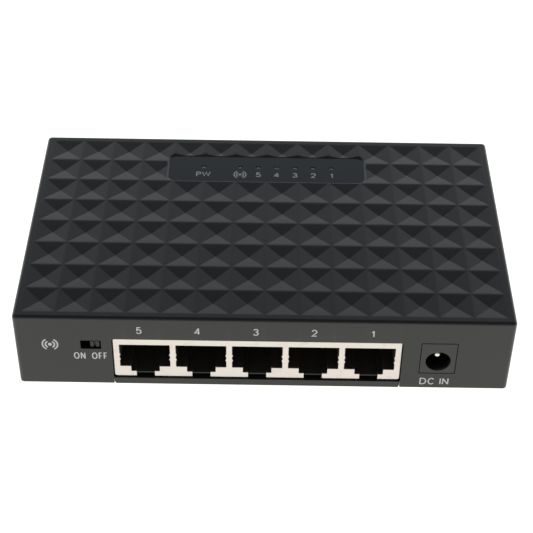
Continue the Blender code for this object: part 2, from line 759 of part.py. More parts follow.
def make_power_socket(parts, cutters, plastic, metal):
    back = FRONT + POWER_DEPTH
    bore_end = FRONT + POWER_BORE_DEPTH
    body = block(
        "dc_jack_body",
        (POWER_X - POWER_HALF_WIDTH, FRONT, POWER_LOW),
        (POWER_X + POWER_HALF_WIDTH, back, HANG),
        parts,
        plastic,
        edge=0.15 * MM,
    )
    cuts = add_collection("power_cuts", cutters, hidden=True)
    rod(
        "power_bore",
        (POWER_X, FRONT - MM, POWER_Z),
        (POWER_X, bore_end, POWER_Z),
        POWER_BORE_RADIUS,
        cuts,
        axis="Y",
    )
    rod(
        "pin_way",
        (POWER_X, bore_end - MM, POWER_Z),
        (POWER_X, back + MM, POWER_Z),
        POWER_PIN_RADIUS + GAP,
        cuts,
        axis="Y",
    )
    leaf_half = 1.1 * MM
    leaf_low = POWER_Z + 2.2 * MM
    block(
        "leaf_channel",
        (POWER_X - leaf_half - GAP, FRONT + 2.0 * MM, leaf_low - 0.5 * MM),
        (POWER_X + leaf_half + GAP, back + MM, leaf_low + 2.2 * MM),
        cuts,
    )
    combine(body, "DIFFERENCE", cuts)

    tip = FRONT + POWER_PIN_RECESS
    r = POWER_PIN_RADIUS
    length = back + 0.4 * MM - tip
    dome = [(r * math.sin(a), r * math.cos(a) - r) for a in (0.45, 0.9, math.pi / 2)]
    profile = [(0, 0), *dome, (r, -length), (0, -length)]
    turned("dc_jack_pin", profile, (POWER_X, tip, POWER_Z), parts, metal, SMALL_ROUND * 2, "Y")

    leaf = [
        (FRONT + 3.0 * MM, leaf_low + 1.2 * MM),
        (FRONT + 4.5 * MM, leaf_low),
        (FRONT + 6.5 * MM, leaf_low),
        (FRONT + 10.0 * MM, leaf_low + 1.3 * MM),
        (back + 0.8 * MM, leaf_low + 1.3 * MM),
        (back + 0.8 * MM, leaf_low + 1.6 * MM),
        (FRONT + 9.9 * MM, leaf_low + 1.6 * MM),
        (FRONT + 6.4 * MM, leaf_low + 0.3 * MM),
        (FRONT + 4.6 * MM, leaf_low + 0.3 * MM),
        (FRONT + 3.1 * MM, leaf_low + 1.5 * MM),
    ]
    low, high = POWER_X - leaf_half, POWER_X + leaf_half
    prism("dc_jack_spring", leaf, low, high, "X", parts, metal)


# ---- Slide switch ----


def make_slide_switch(parts, cutters, plastic, metal, phenolic):
    left, right = SLOT_X - SWITCH_HALF_WIDTH, SLOT_X + SWITCH_HALF_WIDTH
    frame = block(
        "switch_frame",
        (left, SWITCH_FRONT, SWITCH_LOW),
        (right, SWITCH_BACK, HANG),
        parts,
        metal,
    )
    cuts = add_collection("switch_cuts", cutters, hidden=True)
    block(
        "frame_hollow",
        (left + SHEET, SWITCH_FRONT + SHEET, SWITCH_LOW + SHEET),
        (right - SHEET, SWITCH_BACK + MM, HANG - SHEET),
        cuts,
    )
    block(
        "frame_window",
        (SLOT_X - SLOT_WIDTH / 2, SWITCH_FRONT - MM, SLOT_Z - SLOT_HEIGHT / 2),
        (SLOT_X + SLOT_WIDTH / 2, SWITCH_FRONT + MM, SLOT_Z + SLOT_HEIGHT / 2),
        cuts,
    )
    combine(frame, "DIFFERENCE", cuts)

    clear = SHEET + GAP
    base = block(
        "switch_base",
        (left + clear, SWITCH_BACK - 1.2 * MM, SWITCH_LOW + clear),
        (right - clear, SWITCH_BACK, HANG - clear),
        parts,
        phenolic,
    )
    terminals = add_collection("switch_terminals", cutters, hidden=True)
    for step in (-1, 0, 1):
        x = SLOT_X + step * 2.0 * MM
        half = 0.3 * MM
        foot = [
            (SWITCH_BACK - 0.4 * MM, SLOT_Z - 0.2 * MM),
            (SWITCH_BACK + 1.4 * MM, SLOT_Z - 0.2 * MM),
            (SWITCH_BACK + 1.4 * MM, HANG),
            (SWITCH_BACK + 1.0 * MM, HANG),
            (SWITCH_BACK + 1.0 * MM, SLOT_Z + 0.2 * MM),
            (SWITCH_BACK - 0.4 * MM, SLOT_Z + 0.2 * MM),
        ]
        prism(f"terminal_{step}", foot, x - half, x + half, "X", terminals)
    combine(base, "UNION", terminals)

    # The knob rests at OFF, on the right, and slides left by its travel.
    knob_x = SLOT_X + KNOB_TRAVEL / 2
    tip = FRONT + KNOB_RECESS
    slider_front = SWITCH_FRONT + clear
    knob = block(
        "switch_knob",
        (knob_x - KNOB_WIDTH / 2, tip, SLOT_Z - KNOB_HEIGHT / 2),
        (knob_x + KNOB_WIDTH / 2, slider_front + 0.5 * MM, SLOT_Z + KNOB_HEIGHT / 2),
        parts,
        plastic,
        edge=0.12 * MM,
    )
    slider = block(
        "knob_slider",
        (knob_x - 2.1 * MM, slider_front, SLOT_Z - 1.45 * MM),
        (knob_x + 2.1 * MM, slider_front + 1.1 * MM, SLOT_Z + 1.3 * MM),
        cutters,
    )
    combine(knob, "UNION", slider)
    groove_half = 0.22 * MM
    groove = block(
        "knob_groove",
        (knob_x - groove_half, tip - MM, SLOT_Z - KNOB_HEIGHT),
        (knob_x + groove_half, tip + 0.4 * MM, SLOT_Z + KNOB_HEIGHT),
        cutters,
    )
    combine(knob, "DIFFERENCE", groove)


# ---- Parts on the board ----


def make_chip(name, middle, size, leads, parts, cutters, material):
    """A moulded chip that hangs from the board. leads counts its legs on each side, x then y."""
    x, y = middle
    half_x, half_y = size[0] / 2, size[1] / 2
    stand = 0.2 * MM
    high = HANG - stand
    chip = block(
        name,
        (x - half_x, y - half_y, high - size[2]),
        (x + half_x, y + half_y, high),
        parts,
        material,
        edge=0.2 * MM,
    )
    legs = add_collection(f"{name}_legs", cutters, hidden=True)
    half, reach = 0.2 * MM, 1.1 * MM
    for count, along_x in zip(leads, (True, False)):
        span = size[0] if along_x else size[1]
        pitch = span / (count + 1) if count else 0
        for leg in range(count):
            offset = (leg - (count - 1) / 2) * pitch
            if along_x:
                low = (x + offset - half, y - half_y - reach, high - 0.1 * MM)
                top = (x + offset + half, y + half_y + reach, HANG)
            else:
                low = (x - half_x - reach, y + offset - half, high - 0.1 * MM)
                top = (x + half_x + reach, y + offset + half, HANG)
            block(f"{name}_leg_{along_x}_{leg}", low, top, legs)
    if any(leads):
        combine(chip, "UNION", legs)


def make_capacitor(name, middle, radius, height, parts, material):
    """A can on its board end, with the groove that grips its seal."""
    x, y = middle
    edge = 0.3 * MM
    profile = [
        (0, HANG),
        (radius - edge, HANG),
        (radius, HANG - edge),
        (radius, HANG - 1.2 * MM),
        (radius - edge, HANG - 1.6 * MM),
        (radius, HANG - 2.0 * MM),
        (radius, HANG - height + edge),
        (radius - edge, HANG - height),
        (0, HANG - height),
    ]
    turned(name, profile, (x, y, 0), parts, material)


def make_inductor(parts, material):
    """A wound drum core, seen from the side as two flanges with the winding between them."""
    radius, waist, height, flange = 3.9 * MM, 3.4 * MM, 5.0 * MM, 0.9 * MM
    profile = [
        (0, HANG),
        (radius, HANG),
        (radius, HANG - flange),
        (waist, HANG - flange),
        (waist, HANG - height + flange),
        (radius, HANG - height + flange),
        (radius, HANG - height),
        (0, HANG - height),
    ]
    turned("inductor", profile, (23.0 * MM, 4.0 * MM, 0), parts, material)


def make_board_parts(parts, cutters, black, metal, sleeve, ferrite):
    magnet_size = (11.6 * MM, 7.0 * MM, 5.2 * MM)
    for port in range(1, PORTS + 1):
        middle = (port_x(port), -12.0 * MM)
        make_chip(
            f"transformer_{port}", middle, magnet_size, (8, 0), parts, cutters, black
        )
    chip_size = (12.0 * MM, 12.0 * MM, 1.4 * MM)
    make_chip("switch_chip", (-4 * MM, 4 * MM), chip_size, (10, 10), parts, cutters, black)
    small_size = (4.9 * MM, 3.9 * MM, 1.5 * MM)
    middle = (36.0 * MM, -12.0 * MM)
    make_chip("regulator", middle, small_size, (4, 0), parts, cutters, black)
    diode_size = (4.3 * MM, 2.6 * MM, 2.1 * MM)
    middle = (31.0 * MM, 1.0 * MM)
    make_chip("diode", middle, diode_size, (0, 1), parts, cutters, black)

    outline = rectangle_outline(5.6 * MM, 1.7 * MM, 6.3 * MM, -21.0 * MM, 2.25 * MM)
    prism("crystal", outline, HANG - 3.5 * MM, HANG, "Z", parts, metal)
    make_capacitor("capacitor_input", (40.5 * MM, -3.0 * MM), 4.0 * MM, 11.0 * MM, parts, sleeve)
    make_capacitor("capacitor_output", (36.0 * MM, 10.0 * MM), 3.15 * MM, 9.0 * MM, parts, sleeve)
    make_inductor(parts, ferrite)


def main():
    clear_scene()
    root = bpy.context.scene.collection
    parts = add_collection("network_switch", root)
    cutters = add_collection("cutters", root, hidden=True)

    shell = add_material("shell_black", (0.022, 0.024, 0.027), 0.45)
    rubber = add_material("foot_rubber", (0.02, 0.02, 0.02), 0.8)
    screw_steel = add_material("screw_steel", (0.35, 0.35, 0.36), 0.35, 1.0)
    laminate = add_material("board_green", (0.02, 0.16, 0.06), 0.4)
    nickel = add_material("nickel_plate", (0.85, 0.82, 0.75), 0.3, 1.0)
    black = add_material("moulded_black", (0.012, 0.012, 0.012), 0.5)
    gold = add_material("contact_gold", (0.83, 0.62, 0.25), 0.3, 1.0)
    clear = add_material("guide_clear", (0.75, 0.8, 0.8), 0.15)
    lamp = add_material("lamp_resin", (0.85, 0.87, 0.75), 0.3)
    phenolic = add_material("phenolic_brown", (0.2, 0.1, 0.04), 0.6)
    sleeve = add_material("capacitor_sleeve", (0.02, 0.03, 0.12), 0.35)
    ferrite = add_material("ferrite_grey", (0.06, 0.06, 0.06), 0.7)

    make_top_cover(parts, cutters, shell)
    make_bottom_cover(parts, cutters, shell)
    make_feet(parts, rubber)
    make_screws(parts, cutters, screw_steel)
    make_board(parts, cutters, laminate)
    make_lamps(parts, lamp)
    make_light_guide(parts, cutters, clear)
    make_shield(parts, cutters, nickel)
    make_jack_housing(parts, cutters, black)
    make_contacts(parts, cutters, gold)
    make_power_socket(parts, cutters, black, nickel)
    make_slide_switch(parts, cutters, black, nickel, phenolic)
    make_board_parts(parts, cutters, black, nickel, sleeve, ferrite)


main()
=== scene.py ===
# Desktop network switch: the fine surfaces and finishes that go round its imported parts.
# Shapes are worked out in millimetres and put into the meshes in metres.

import bmesh
import bpy
import numpy as np
from mathutils import Matrix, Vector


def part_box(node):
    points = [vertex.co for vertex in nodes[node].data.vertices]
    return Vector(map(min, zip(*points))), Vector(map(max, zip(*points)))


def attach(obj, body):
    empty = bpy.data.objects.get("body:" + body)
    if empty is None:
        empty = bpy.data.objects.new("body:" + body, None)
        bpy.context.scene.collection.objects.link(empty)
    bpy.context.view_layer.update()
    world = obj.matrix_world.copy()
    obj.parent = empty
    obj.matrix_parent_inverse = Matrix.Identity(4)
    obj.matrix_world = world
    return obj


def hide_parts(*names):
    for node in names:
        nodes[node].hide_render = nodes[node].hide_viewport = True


print("network switch: loading the frame")
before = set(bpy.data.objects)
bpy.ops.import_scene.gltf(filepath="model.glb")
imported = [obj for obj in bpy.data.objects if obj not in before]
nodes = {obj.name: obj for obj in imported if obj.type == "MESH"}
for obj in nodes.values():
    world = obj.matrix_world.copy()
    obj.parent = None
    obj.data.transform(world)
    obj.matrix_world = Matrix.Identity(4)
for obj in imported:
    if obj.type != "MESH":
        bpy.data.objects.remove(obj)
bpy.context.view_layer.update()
mm = 0.001


def boxOf(node):
    # lowest and highest corner of a node, in millimetres
    low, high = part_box(node)
    return np.array(low) / mm, np.array(high) / mm


def middleOf(node):
    low, high = boxOf(node)
    return (low + high) / 2


caseLow, caseHigh = boxOf("top_cover")
shieldGrowth = {"side": 0.2, "below": 0.15}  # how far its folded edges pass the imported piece
shieldLow, shieldHigh = boxOf("jack_shield")
shieldLow = shieldLow - (shieldGrowth["side"], 0, shieldGrowth["below"])
shieldHigh = shieldHigh + (shieldGrowth["side"], 0, 0)
powerLow, powerHigh = boxOf("dc_jack_body")
floorLow, floorHigh = boxOf("bottom_cover")
ports = [middleOf(f"contact_set_{number}")[0] for number in range(1, 6)]
lampNodes = ["led_power", "led_link", *[f"led_port_{number}" for number in range(5, 0, -1)]]
cornerNames = ["front_left", "front_right", "back_left", "back_right"]


def roundedOutline(corners, radii, steps=6):
    # each corner of the polygon becomes an arc that touches both its sides: the arc's centre lies on
    # the corner's bisector, and its points turn evenly from one side's touching point to the other's
    corners = np.asarray(corners, float)
    radii = np.broadcast_to(np.asarray(radii, float), len(corners))[:, None]
    before = np.roll(corners, 1, axis=0) - corners
    after = np.roll(corners, -1, axis=0) - corners
    before /= np.linalg.norm(before, axis=1, keepdims=True)
    after /= np.linalg.norm(after, axis=1, keepdims=True)
    opening = np.arccos(np.clip((before * after).sum(1, keepdims=True), -1, 1))
    reach = radii / np.tan(opening / 2)
    bisector = before + after
    bisector /= np.linalg.norm(bisector, axis=1, keepdims=True)
    centre = corners + bisector * radii / np.sin(opening / 2)
    start = corners + before * reach - centre
    end = corners + after * reach - centre
    turn = (np.pi - opening)[:, None, :]
    share = np.linspace(0, 1, steps + 1)[None, :, None]
    arc = np.sin((1 - share) * turn) * start[:, None] + np.sin(share * turn) * end[:, None]
    return (centre[:, None] + arc / np.sin(turn)).reshape(-1, 2)


def rectangle(low, high):
    # four corners, anticlockwise from the lowest
    return np.array([(low[0], low[1]), (high[0], low[1]), (high[0], high[1]), (low[0], high[1])], float)


def roundedBox(low, high, radii, steps=6):
    # a rectangle whose corners are arcs
    return roundedOutline(rectangle(low, high), radii, steps)


def circle(middle, radius, steps=48):
    # points evenly round a centre, anticlockwise
    turn = np.linspace(0, 2 * np.pi, steps, endpoint=False)
    return np.stack([middle[0] + radius * np.cos(turn), middle[1] + radius * np.sin(turn)], axis=1)


def grown(outline, distance):
    # every point moves out square to its two sides, far enough that both sides move by the distance
    side = np.roll(outline, -1, axis=0) - outline
    side /= np.maximum(np.linalg.norm(side, axis=1, keepdims=True), 1e-9)
    out = np.stack([side[:, 1], -side[:, 0]], axis=1)
    both = out + np.roll(out, 1, axis=0)
    return outline + distance * both * 2 / np.maximum((both * both).sum(1, keepdims=True), 0.5)


def laid(outline, height, plane):
    # a flat outline set in the model: height runs up from the top plane, forwards from the front plane
    across, up = outline[:, 0], outline[:, 1]
    level = np.full(len(outline), float(height))
    if plane == "top":
        return np.stack([across, up, level], axis=1)
    return np.stack([across, -level, up], axis=1)


def ringFaces(rings, points):
    # quads from each closed ring of points to the next
    ring = np.arange(rings - 1)[:, None] * points
    step = np.arange(points)[None, :]
    after = (step + 1) % points
    quads = [ring + step, ring + after, ring + points + after, ring + points + step]
    return np.stack(quads, axis=-1).reshape(-1, 4)


def carried(rings):
    # a closed outline carried through its stations, with both ends closed
    rings = np.asarray(rings)
    count, points = rings.shape[:2]
    faces = ringFaces(count, points).tolist()
    faces.append(list(range(points))[::-1])
    faces.append(list(range((count - 1) * points, count * points)))
    return rings.reshape(-1, 3), faces


def prism(outline, low, high, plane):
    # a flat outline carried straight from one height to another
    return carried([laid(outline, height, plane) for height in (low, high)])


def moulded(outline, low, high, edge, plane, steps=4):
    # a solid whose outline draws in along a quarter circle at both ends
    turn = quarter(steps)
    inset, rise = edge * (1 - np.sin(turn)), edge * (1 - np.cos(turn))
    heights = np.concatenate([low + rise, (high - rise)[::-1]])
    insets = np.concatenate([inset, inset[::-1]])
    return carried([laid(grown(outline, -i), h, plane) for i, h in zip(insets, heights)])


def mouth(outline, deep, face, lip, plane, steps=4, beyond=1.0):
    # the space an opening takes: straight walls that flare along a quarter circle at the outer face
    turn = quarter(steps)
    flare, depth = lip * (1 - np.cos(turn)), lip * (1 - np.sin(turn))
    out = 1 if face > deep else -1
    heights = [deep, *(face - out * depth), face + out * beyond][::out]
    flares = [0, *flare, lip][::out]
    return carried([laid(grown(outline, f), h, plane) for f, h in zip(flares, heights)])


def turned(profile, centre, axis="z", steps=64):
    # the profile's (radius, height) points, bottom to top on the outside, spun round the axis
    profile = np.asarray(profile, float)
    turn = np.linspace(0, 2 * np.pi, steps, endpoint=False)
    radius, height = profile[:, :1], profile[:, 1:]
    across, up = radius * np.cos(turn), radius * np.sin(turn)
    level = np.broadcast_to(height, across.shape)
    place = {"z": (across, up, level), "front": (across, -level, up)}[axis]
    return carried(np.stack(place, axis=-1) + np.asarray(centre, float))


def quarter(steps):
    # angles evenly over a quarter turn
    return np.linspace(0, np.pi / 2, steps + 1)


def domed(radius, height, steps):
    # a tip's profile: a quarter of an ellipse from the rim in to a tiny flat at the top
    turn = quarter(steps - 1)[:-1]
    return [*zip(radius * np.cos(turn), height * (np.sin(turn) - 1)), (0.02, 0.0)]


def alongPath(path, width, thickness, x):
    # a flat strip's four-sided section carried along a path in the side view, square to it throughout
    path = np.asarray(path, float)
    ahead = np.gradient(path, axis=0)
    ahead /= np.linalg.norm(ahead, axis=1, keepdims=True)
    square = np.stack([-ahead[:, 1], ahead[:, 0]], axis=1) * thickness / 2
    cornersX = np.array([-1, 1, 1, -1]) * width / 2 + x
    sides = np.array([-1, -1, 1, 1])
    section = path[:, None, :] + square[:, None, :] * sides[None, :, None]
    wide = np.broadcast_to(cornersX, section.shape[:2])
    return carried(np.stack([wide, section[..., 0], section[..., 1]], axis=-1)[:, ::-1])


def together(*solids):
    # several solids as one set of points and faces
    points, faces, start = [], [], 0
    for vertices, polygons in solids:
        points.append(vertices)
        faces += [[start + corner for corner in polygon] for polygon in polygons]
        start += len(vertices)
    return np.concatenate(points), faces


def meshOf(name, solid):
    if isinstance(solid, bpy.types.Mesh):
        return solid
    points, faces = solid
    mesh = bpy.data.meshes.new(name)
    mesh.from_pydata((np.asarray(points) * mm).tolist(), [], faces)
    mesh.update()
    return mesh


def linked(name, data):
    # a new object in the scene
    made = bpy.data.objects.new(name, data)
    bpy.context.scene.collection.objects.link(made)
    return made


def evenNormals(piece):
    # shading leans towards the largest faces, so that flats stay flat beside their rounded edges
    weighted = piece.modifiers.new("evenNormals", "WEIGHTED_NORMAL")
    weighted.keep_sharp = True
    weighted.weight = 100


def makePiece(name, solid, finish, stands=(), body="case", smooth=30):
    # one visible piece: its mesh, its finish, and the body it rides on
    mesh = meshOf(name, solid)
    mesh.name = name
    mesh.materials.clear()
    mesh.materials.append(finishes[finish])
    if smooth:
        mesh.shade_smooth()
        mesh.set_sharp_from_angle(angle=np.radians(smooth))
    piece = linked(name, mesh)
    if smooth:
        evenNormals(piece)
    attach(piece, body)
    if stands:
        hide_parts(*stands)
    return piece


def carved(solid, joins=(), cuts=()):
    # solid geometry by Booleans: every solid in joins is added, then every one in cuts is taken away
    blank = linked("blank", meshOf("blank", solid))
    tools = []
    changes = [("UNION", part) for part in joins] + [("DIFFERENCE", part) for part in cuts]
    for operation, toolSolid in changes:
        tools.append(linked("tool", meshOf("tool", toolSolid)))
        change = blank.modifiers.new(operation, "BOOLEAN")
        change.operation = operation
        change.solver = "EXACT"
        change.object = tools[-1]
    seen = blank.evaluated_get(bpy.context.evaluated_depsgraph_get())
    result = bpy.data.meshes.new_from_object(seen)
    for used in [blank, *tools]:
        spent = used.data
        bpy.data.objects.remove(used)
        bpy.data.meshes.remove(spent)
    return result


class Channel:
    # one node output; arithmetic on it adds Math nodes

    def __init__(self, tree, socket):
        self.tree, self.socket = tree, socket

    def math(self, operation, first, second):
        node = self.tree.nodes.new("ShaderNodeMath")
        node.operation = operation
        feed(node.inputs[0], first)
        feed(node.inputs[1], second)
        return Channel(self.tree, node.outputs[0])

    def __add__(self, other):
        return self.math("ADD", self, other)

    def __radd__(self, other):
        return self.math("ADD", other, self)

    def __sub__(self, other):
        return self.math("SUBTRACT", self, other)

    def __rsub__(self, other):
        return self.math("SUBTRACT", other, self)

    def __mul__(self, other):
        return self.math("MULTIPLY", self, other)

    def __rmul__(self, other):
        return self.math("MULTIPLY", other, self)


def feed(socket, value):
    # a link from a channel, or a plain value; a colour gets its alpha
    if isinstance(value, Channel):
        value.tree.links.new(value.socket, socket)
    elif isinstance(value, (tuple, list)) and socket.type == "RGBA":
        socket.default_value = (*value[:3], 1.0)
    else:
        socket.default_value = value


class Graph:
    # nodes under construction in a material or the sky

    def __init__(self, tree):
        self.tree = tree

    def add(self, kind, settings=None, inputs=None, output=0):
        node = self.tree.nodes.new("ShaderNode" + kind)
        for key, value in (settings or {}).items():
            if key == "stops":
                ramp = node.color_ramp.elements
                while len(ramp) < len(value):
                    ramp.new(0.5)
                for element, (position, colour) in zip(ramp, value):
                    element.position, element.color = position, (*colour, 1.0)
            else:
                setattr(node, key, value)
        for key, value in (inputs or {}).items():
            feed(node.inputs[key], value)
        return Channel(self.tree, node.outputs[output])

    def blend(self, share, first, second):
        # a colour between two, by a share from 0 to 1
        return self.add("Mix", {"data_type": "RGBA"}, {0: share, 6: first, 7: second}, 2)

    def softStep(self, value, low, high):
        # 0 below low, 1 above high, and a smooth rise between
        settings = {"interpolation_type": "SMOOTHSTEP"}
        return self.add("MapRange", settings, {0: value, 1: low, 2: high})


class Finish(Graph):
    # one material, whose patterns are placed in millimetres

    def __init__(self, name, **shaderValues):
        self.material = bpy.data.materials.new(name)
        self.material.use_nodes = True
        super().__init__(self.material.node_tree)
        self.shader = self.tree.nodes["Principled BSDF"]
        self.set(**shaderValues)
        metres = self.add("TexCoord", output="Object")
        self.place = self.add("VectorMath", {"operation": "SCALE"}, {"Vector": metres, "Scale": 1 / mm})

    def set(self, **shaderValues):
        for words, value in shaderValues.items():
            feed(self.shader.inputs[words.replace("_", " ")], value)

    def noise(self, scale, detail=2.0, roughness=0.5, stretch=(1, 1, 1)):
        # scale is in waves a millimetre
        place = self.add("Mapping", None, {"Vector": self.place, "Scale": stretch})
        values = {"Vector": place, "Scale": scale, "Detail": detail, "Roughness": roughness}
        return self.add("TexNoise", None, values, "Fac")

    def axis(self, letter):
        return self.add("SeparateXYZ", None, {0: self.place}, letter)

    def area(self, low, high, soft):
        # 1 inside a box given by two corners, falling to 0 over the soft distance within each side
        share = 1.0
        for letter, start, end in zip("XYZ", low, high):
            along = self.axis(letter)
            share = share * self.softStep(along, start, start + soft)
            share = share * (1 - self.softStep(along, end - soft, end))
        return share

    def bump(self, height, depth):
        # height runs from 0 to 1 over this depth in millimetres
        return self.add("Bump", None, {"Height": height, "Strength": 1.0, "Distance": depth * mm})


def mouldedPlastic(name, colour, tint, roughness, grain, grainDepth, polished=None, hollow=None):
    # satin plastic: a fine eroded grain, a slow drift of tone, and a little uneven polish; a polished
    # area has less of all three, and a hollow gets painted shade, its colour darkening with depth behind
    # the front face
    finish = Finish(name, IOR=1.5)
    drift = finish.noise(0.05, 3.0)
    cloud = finish.noise(0.35, 4.0, 0.6)
    fine = finish.noise(grain, 3.0, 0.6)
    tone = finish.blend(finish.softStep(drift, 0.3, 0.7), colour, tint)
    rough = roughness + 0.08 * (cloud - 0.5) + 0.06 * (fine - 0.5)
    height = fine
    if polished:
        inside = finish.area(polished["low"], polished["high"], polished["fade"])
        tone = finish.blend(inside, tone, polished["colour"])
        rough = rough * (1 - inside) + polished["roughness"] * inside
        height = fine * (1 - 0.7 * inside)
    # painted shade: the colour turns to near black with depth behind the front face, standing in for the
    # shade inside a bore
    if hollow:
        depth = finish.softStep(finish.axis("Y"), hollow["from"], hollow["to"])
        tone = finish.blend(depth, tone, hollow["colour"])
    finish.set(Base_Color=tone, Roughness=rough, Normal=finish.bump(height, grainDepth))
    return finish.material


def platedSheet(name, colour, stain, roughness):
    # rolled and plated sheet: faint streaks along its length and a few dull patches
    finish = Finish(name, Metallic=1.0)
    streak = finish.noise(3.0, 3.0, 0.6, stretch=(0.08, 1, 1))
    patch = finish.softStep(finish.noise(0.25, 4.0, 0.65), 0.52, 0.75)
    finish.set(
        Base_Color=finish.blend(0.6 * patch, colour, stain),
        Roughness=roughness + 0.12 * (streak - 0.5) + 0.12 * patch,
        Normal=finish.bump(streak, 0.002),
    )
    return finish.material


def printedInk(name, colour):
    # a thin printed film that varies a little in strength
    finish = Finish(name, Roughness=0.55)
    cover = finish.noise(3.0, 3.0, 0.6)
    dull = tuple(0.72 * part for part in colour)
    finish.set(Base_Color=finish.blend(finish.softStep(cover, 0.25, 0.6), dull, colour))
    return finish.material


def plainMetal(name, colour, roughness):
    # turned or drawn metal with fine handling marks
    finish = Finish(name, Metallic=1.0)
    marks = finish.noise(2.5, 4.0, 0.7)
    finish.set(
        Base_Color=colour,
        Roughness=roughness + 0.14 * (marks - 0.5),
        Normal=finish.bump(marks, 0.0015),
    )
    return finish.material


def boardLaminate(name):
    # solder mask over copper: broad areas and narrow tracks show through as a lighter green
    finish = Finish(name, Roughness=0.32, IOR=1.5)
    tracks = finish.add(
        "TexBrick",
        {"offset": 0.37, "squash": 1.0},
        {
            "Vector": finish.place,
            "Color1": (0.012, 0.085, 0.03),
            "Color2": (0.02, 0.13, 0.045),
            "Mortar": (0.008, 0.055, 0.02),
            "Scale": 1.0,
            "Mortar Size": 0.08,
            "Brick Width": 5.2,
            "Row Height": 1.27,
        },
        "Color",
    )
    finish.set(Base_Color=tracks)
    return finish.material


def clearPlastic(name):
    # clouded a little from place to place, in tone and in polish
    finish = Finish(name, IOR=1.49)
    haze = finish.noise(0.8, 3.0)
    tone = finish.blend(haze, (0.07, 0.073, 0.075), (0.1, 0.104, 0.105))
    finish.set(Base_Color=tone, Roughness=0.1 + 0.1 * haze)
    return finish.material


# each plastic's colour, tint, roughness, grain in waves a millimetre and grain depth in millimetres
plastics = {
    "basePlastic": ((0.0115, 0.0112, 0.0104), (0.0135, 0.013, 0.012), 0.4, 5.0, 0.005),
    "jackBlack": ((0.026, 0.0255, 0.0225), (0.032, 0.031, 0.028), 0.5, 4.0, 0.004),
    "powerBlack": ((0.0145, 0.0145, 0.0135), (0.017, 0.017, 0.016), 0.34, 6.0, 0.003),
    "knobBlack": ((0.012, 0.012, 0.0115), (0.015, 0.015, 0.014), 0.4, 7.0, 0.003),
    "footRubber": ((0.02, 0.02, 0.02), (0.026, 0.025, 0.024), 0.78, 3.0, 0.01),
    "capacitorSleeve": ((0.008, 0.01, 0.03), (0.012, 0.014, 0.04), 0.3, 2.0, 0.002),
    "ferriteDrum": ((0.03, 0.03, 0.032), (0.05, 0.05, 0.05), 0.6, 4.0, 0.008),
    "lampResin": ((0.55, 0.56, 0.48), (0.62, 0.62, 0.52), 0.3, 4.0, 0.002),
}
# painted shade inside the power socket's bore: the colour goes to near black from 0.3 mm to 2.2 mm behind
# its front face
paintedBoreShade = {
    "powerBlack": {"from": powerLow[1] + 0.3, "to": powerLow[1] + 2.2, "colour": (0.004, 0.004, 0.004)},
}
finishes = {
    name: mouldedPlastic(name, *look, hollow=paintedBoreShade.get(name)) for name, look in plastics.items()
}
finishes.update({
    "shieldPlate": platedSheet("shieldPlate", (0.69, 0.635, 0.6), (0.6, 0.55, 0.51), 0.34),
    "printInk": printedInk("printInk", (0.64, 0.64, 0.63)),
    "lidInk": printedInk("lidInk", (0.5, 0.51, 0.51)),
    "pinNickel": plainMetal("pinNickel", (0.9, 0.88, 0.84), 0.16),
    "contactGold": plainMetal("contactGold", (0.83, 0.6, 0.24), 0.24),
    "screwSteel": plainMetal("screwSteel", (0.5, 0.5, 0.51), 0.34),
    "switchFrameSteel": plainMetal("switchFrameSteel", (0.32, 0.31, 0.3), 0.4),
    "boardLaminate": boardLaminate("boardLaminate"),
    "lampLens": clearPlastic("lampLens"),
})


print("network switch: case with its sunk pyramids")
case = {
    "wall": 2.0, "lid": 2.2, "corner": 1.1, "rim": 0.8, "rimSteps": 8, "arcSteps": 8,
    "footRound": 0.2, "margin": 1.9, "columns": 14, "rows": 8, "facetDepth": 0.55,
    "ridgeRound": 0.12,  # share of half a facet that each side of a ridge is rounded over
    "lip": 0.2,
    "softerLip": 0.6,  # share of the lip that the sockets' openings have
    "gap": 0.12, "socketCorners": [0.2, 0.2, 0.6, 0.6], "powerCorner": 0.3, "pegX": 47.2,
    "pegY": -14.0,
}
lampStrip = {
    "row": 6, "columns": 6, "depth": 0.5, "slope": 0.5, "side": 1.8, "back": 3.4, "corner": 2.6,
    "footRound": 0.2, "browRound": 0.45, "hole": 0.8, "holeLip": 0.12, "polishFade": 0.4,
}
switchSlot = {"x": -42.75, "z": 14.9, "width": 5.0, "height": 2.65, "corner": 0.2}
# posts under the lid: radii of the posts and of the holes and pegs in them, and their levels
post = {
    "radius": 3.2, "coverFoot": 5.8, "coverPilot": 1.6, "coverPilotEnds": (4.0, 15.0),
    "boardPilot": 1.4, "pegShoulder": 2.2, "peg": 1.2, "boardGap": 0.3, "pegBelow": 1.2,
}

halfX, halfY = (caseHigh[0] - caseLow[0]) / 2, (caseHigh[1] - caseLow[1]) / 2
fieldX, fieldY = halfX - case["margin"], halfY - case["margin"]
facetX, facetY = 2 * fieldX / case["columns"], 2 * fieldY / case["rows"]
lidTop = caseHigh[2]


def facetLines(count, half):
    # where the grid's lines cross the lid: each facet has a middle line and two close to each ridge
    r = case["ridgeRound"]
    local = np.array([-1, -1 + r / 3, -1 + r, -0.5, 0, 0.5, 1 - r, 1 - r / 3])
    starts = np.arange(count)[:, None]
    lines = (starts + (local[None, :] + 1) / 2).ravel()
    return np.append(lines, count) * 2 * half / count - half


def sunkPyramids(x, y):
    # height below the ridges: the depth times how near the point is to its facet's middle, counted
    # on the larger of its two distances, with the first stretch from the ridge eased by a parabola
    u = np.abs(((x + fieldX) / facetX) % 1.0 * 2 - 1)
    v = np.abs(((y + fieldY) / facetY) % 1.0 * 2 - 1)
    inward = 1 - np.maximum(u, v)
    r = case["ridgeRound"]
    eased = np.where(inward < r, inward**2 / (2 * r), inward - r / 2)
    return -case["facetDepth"] * eased


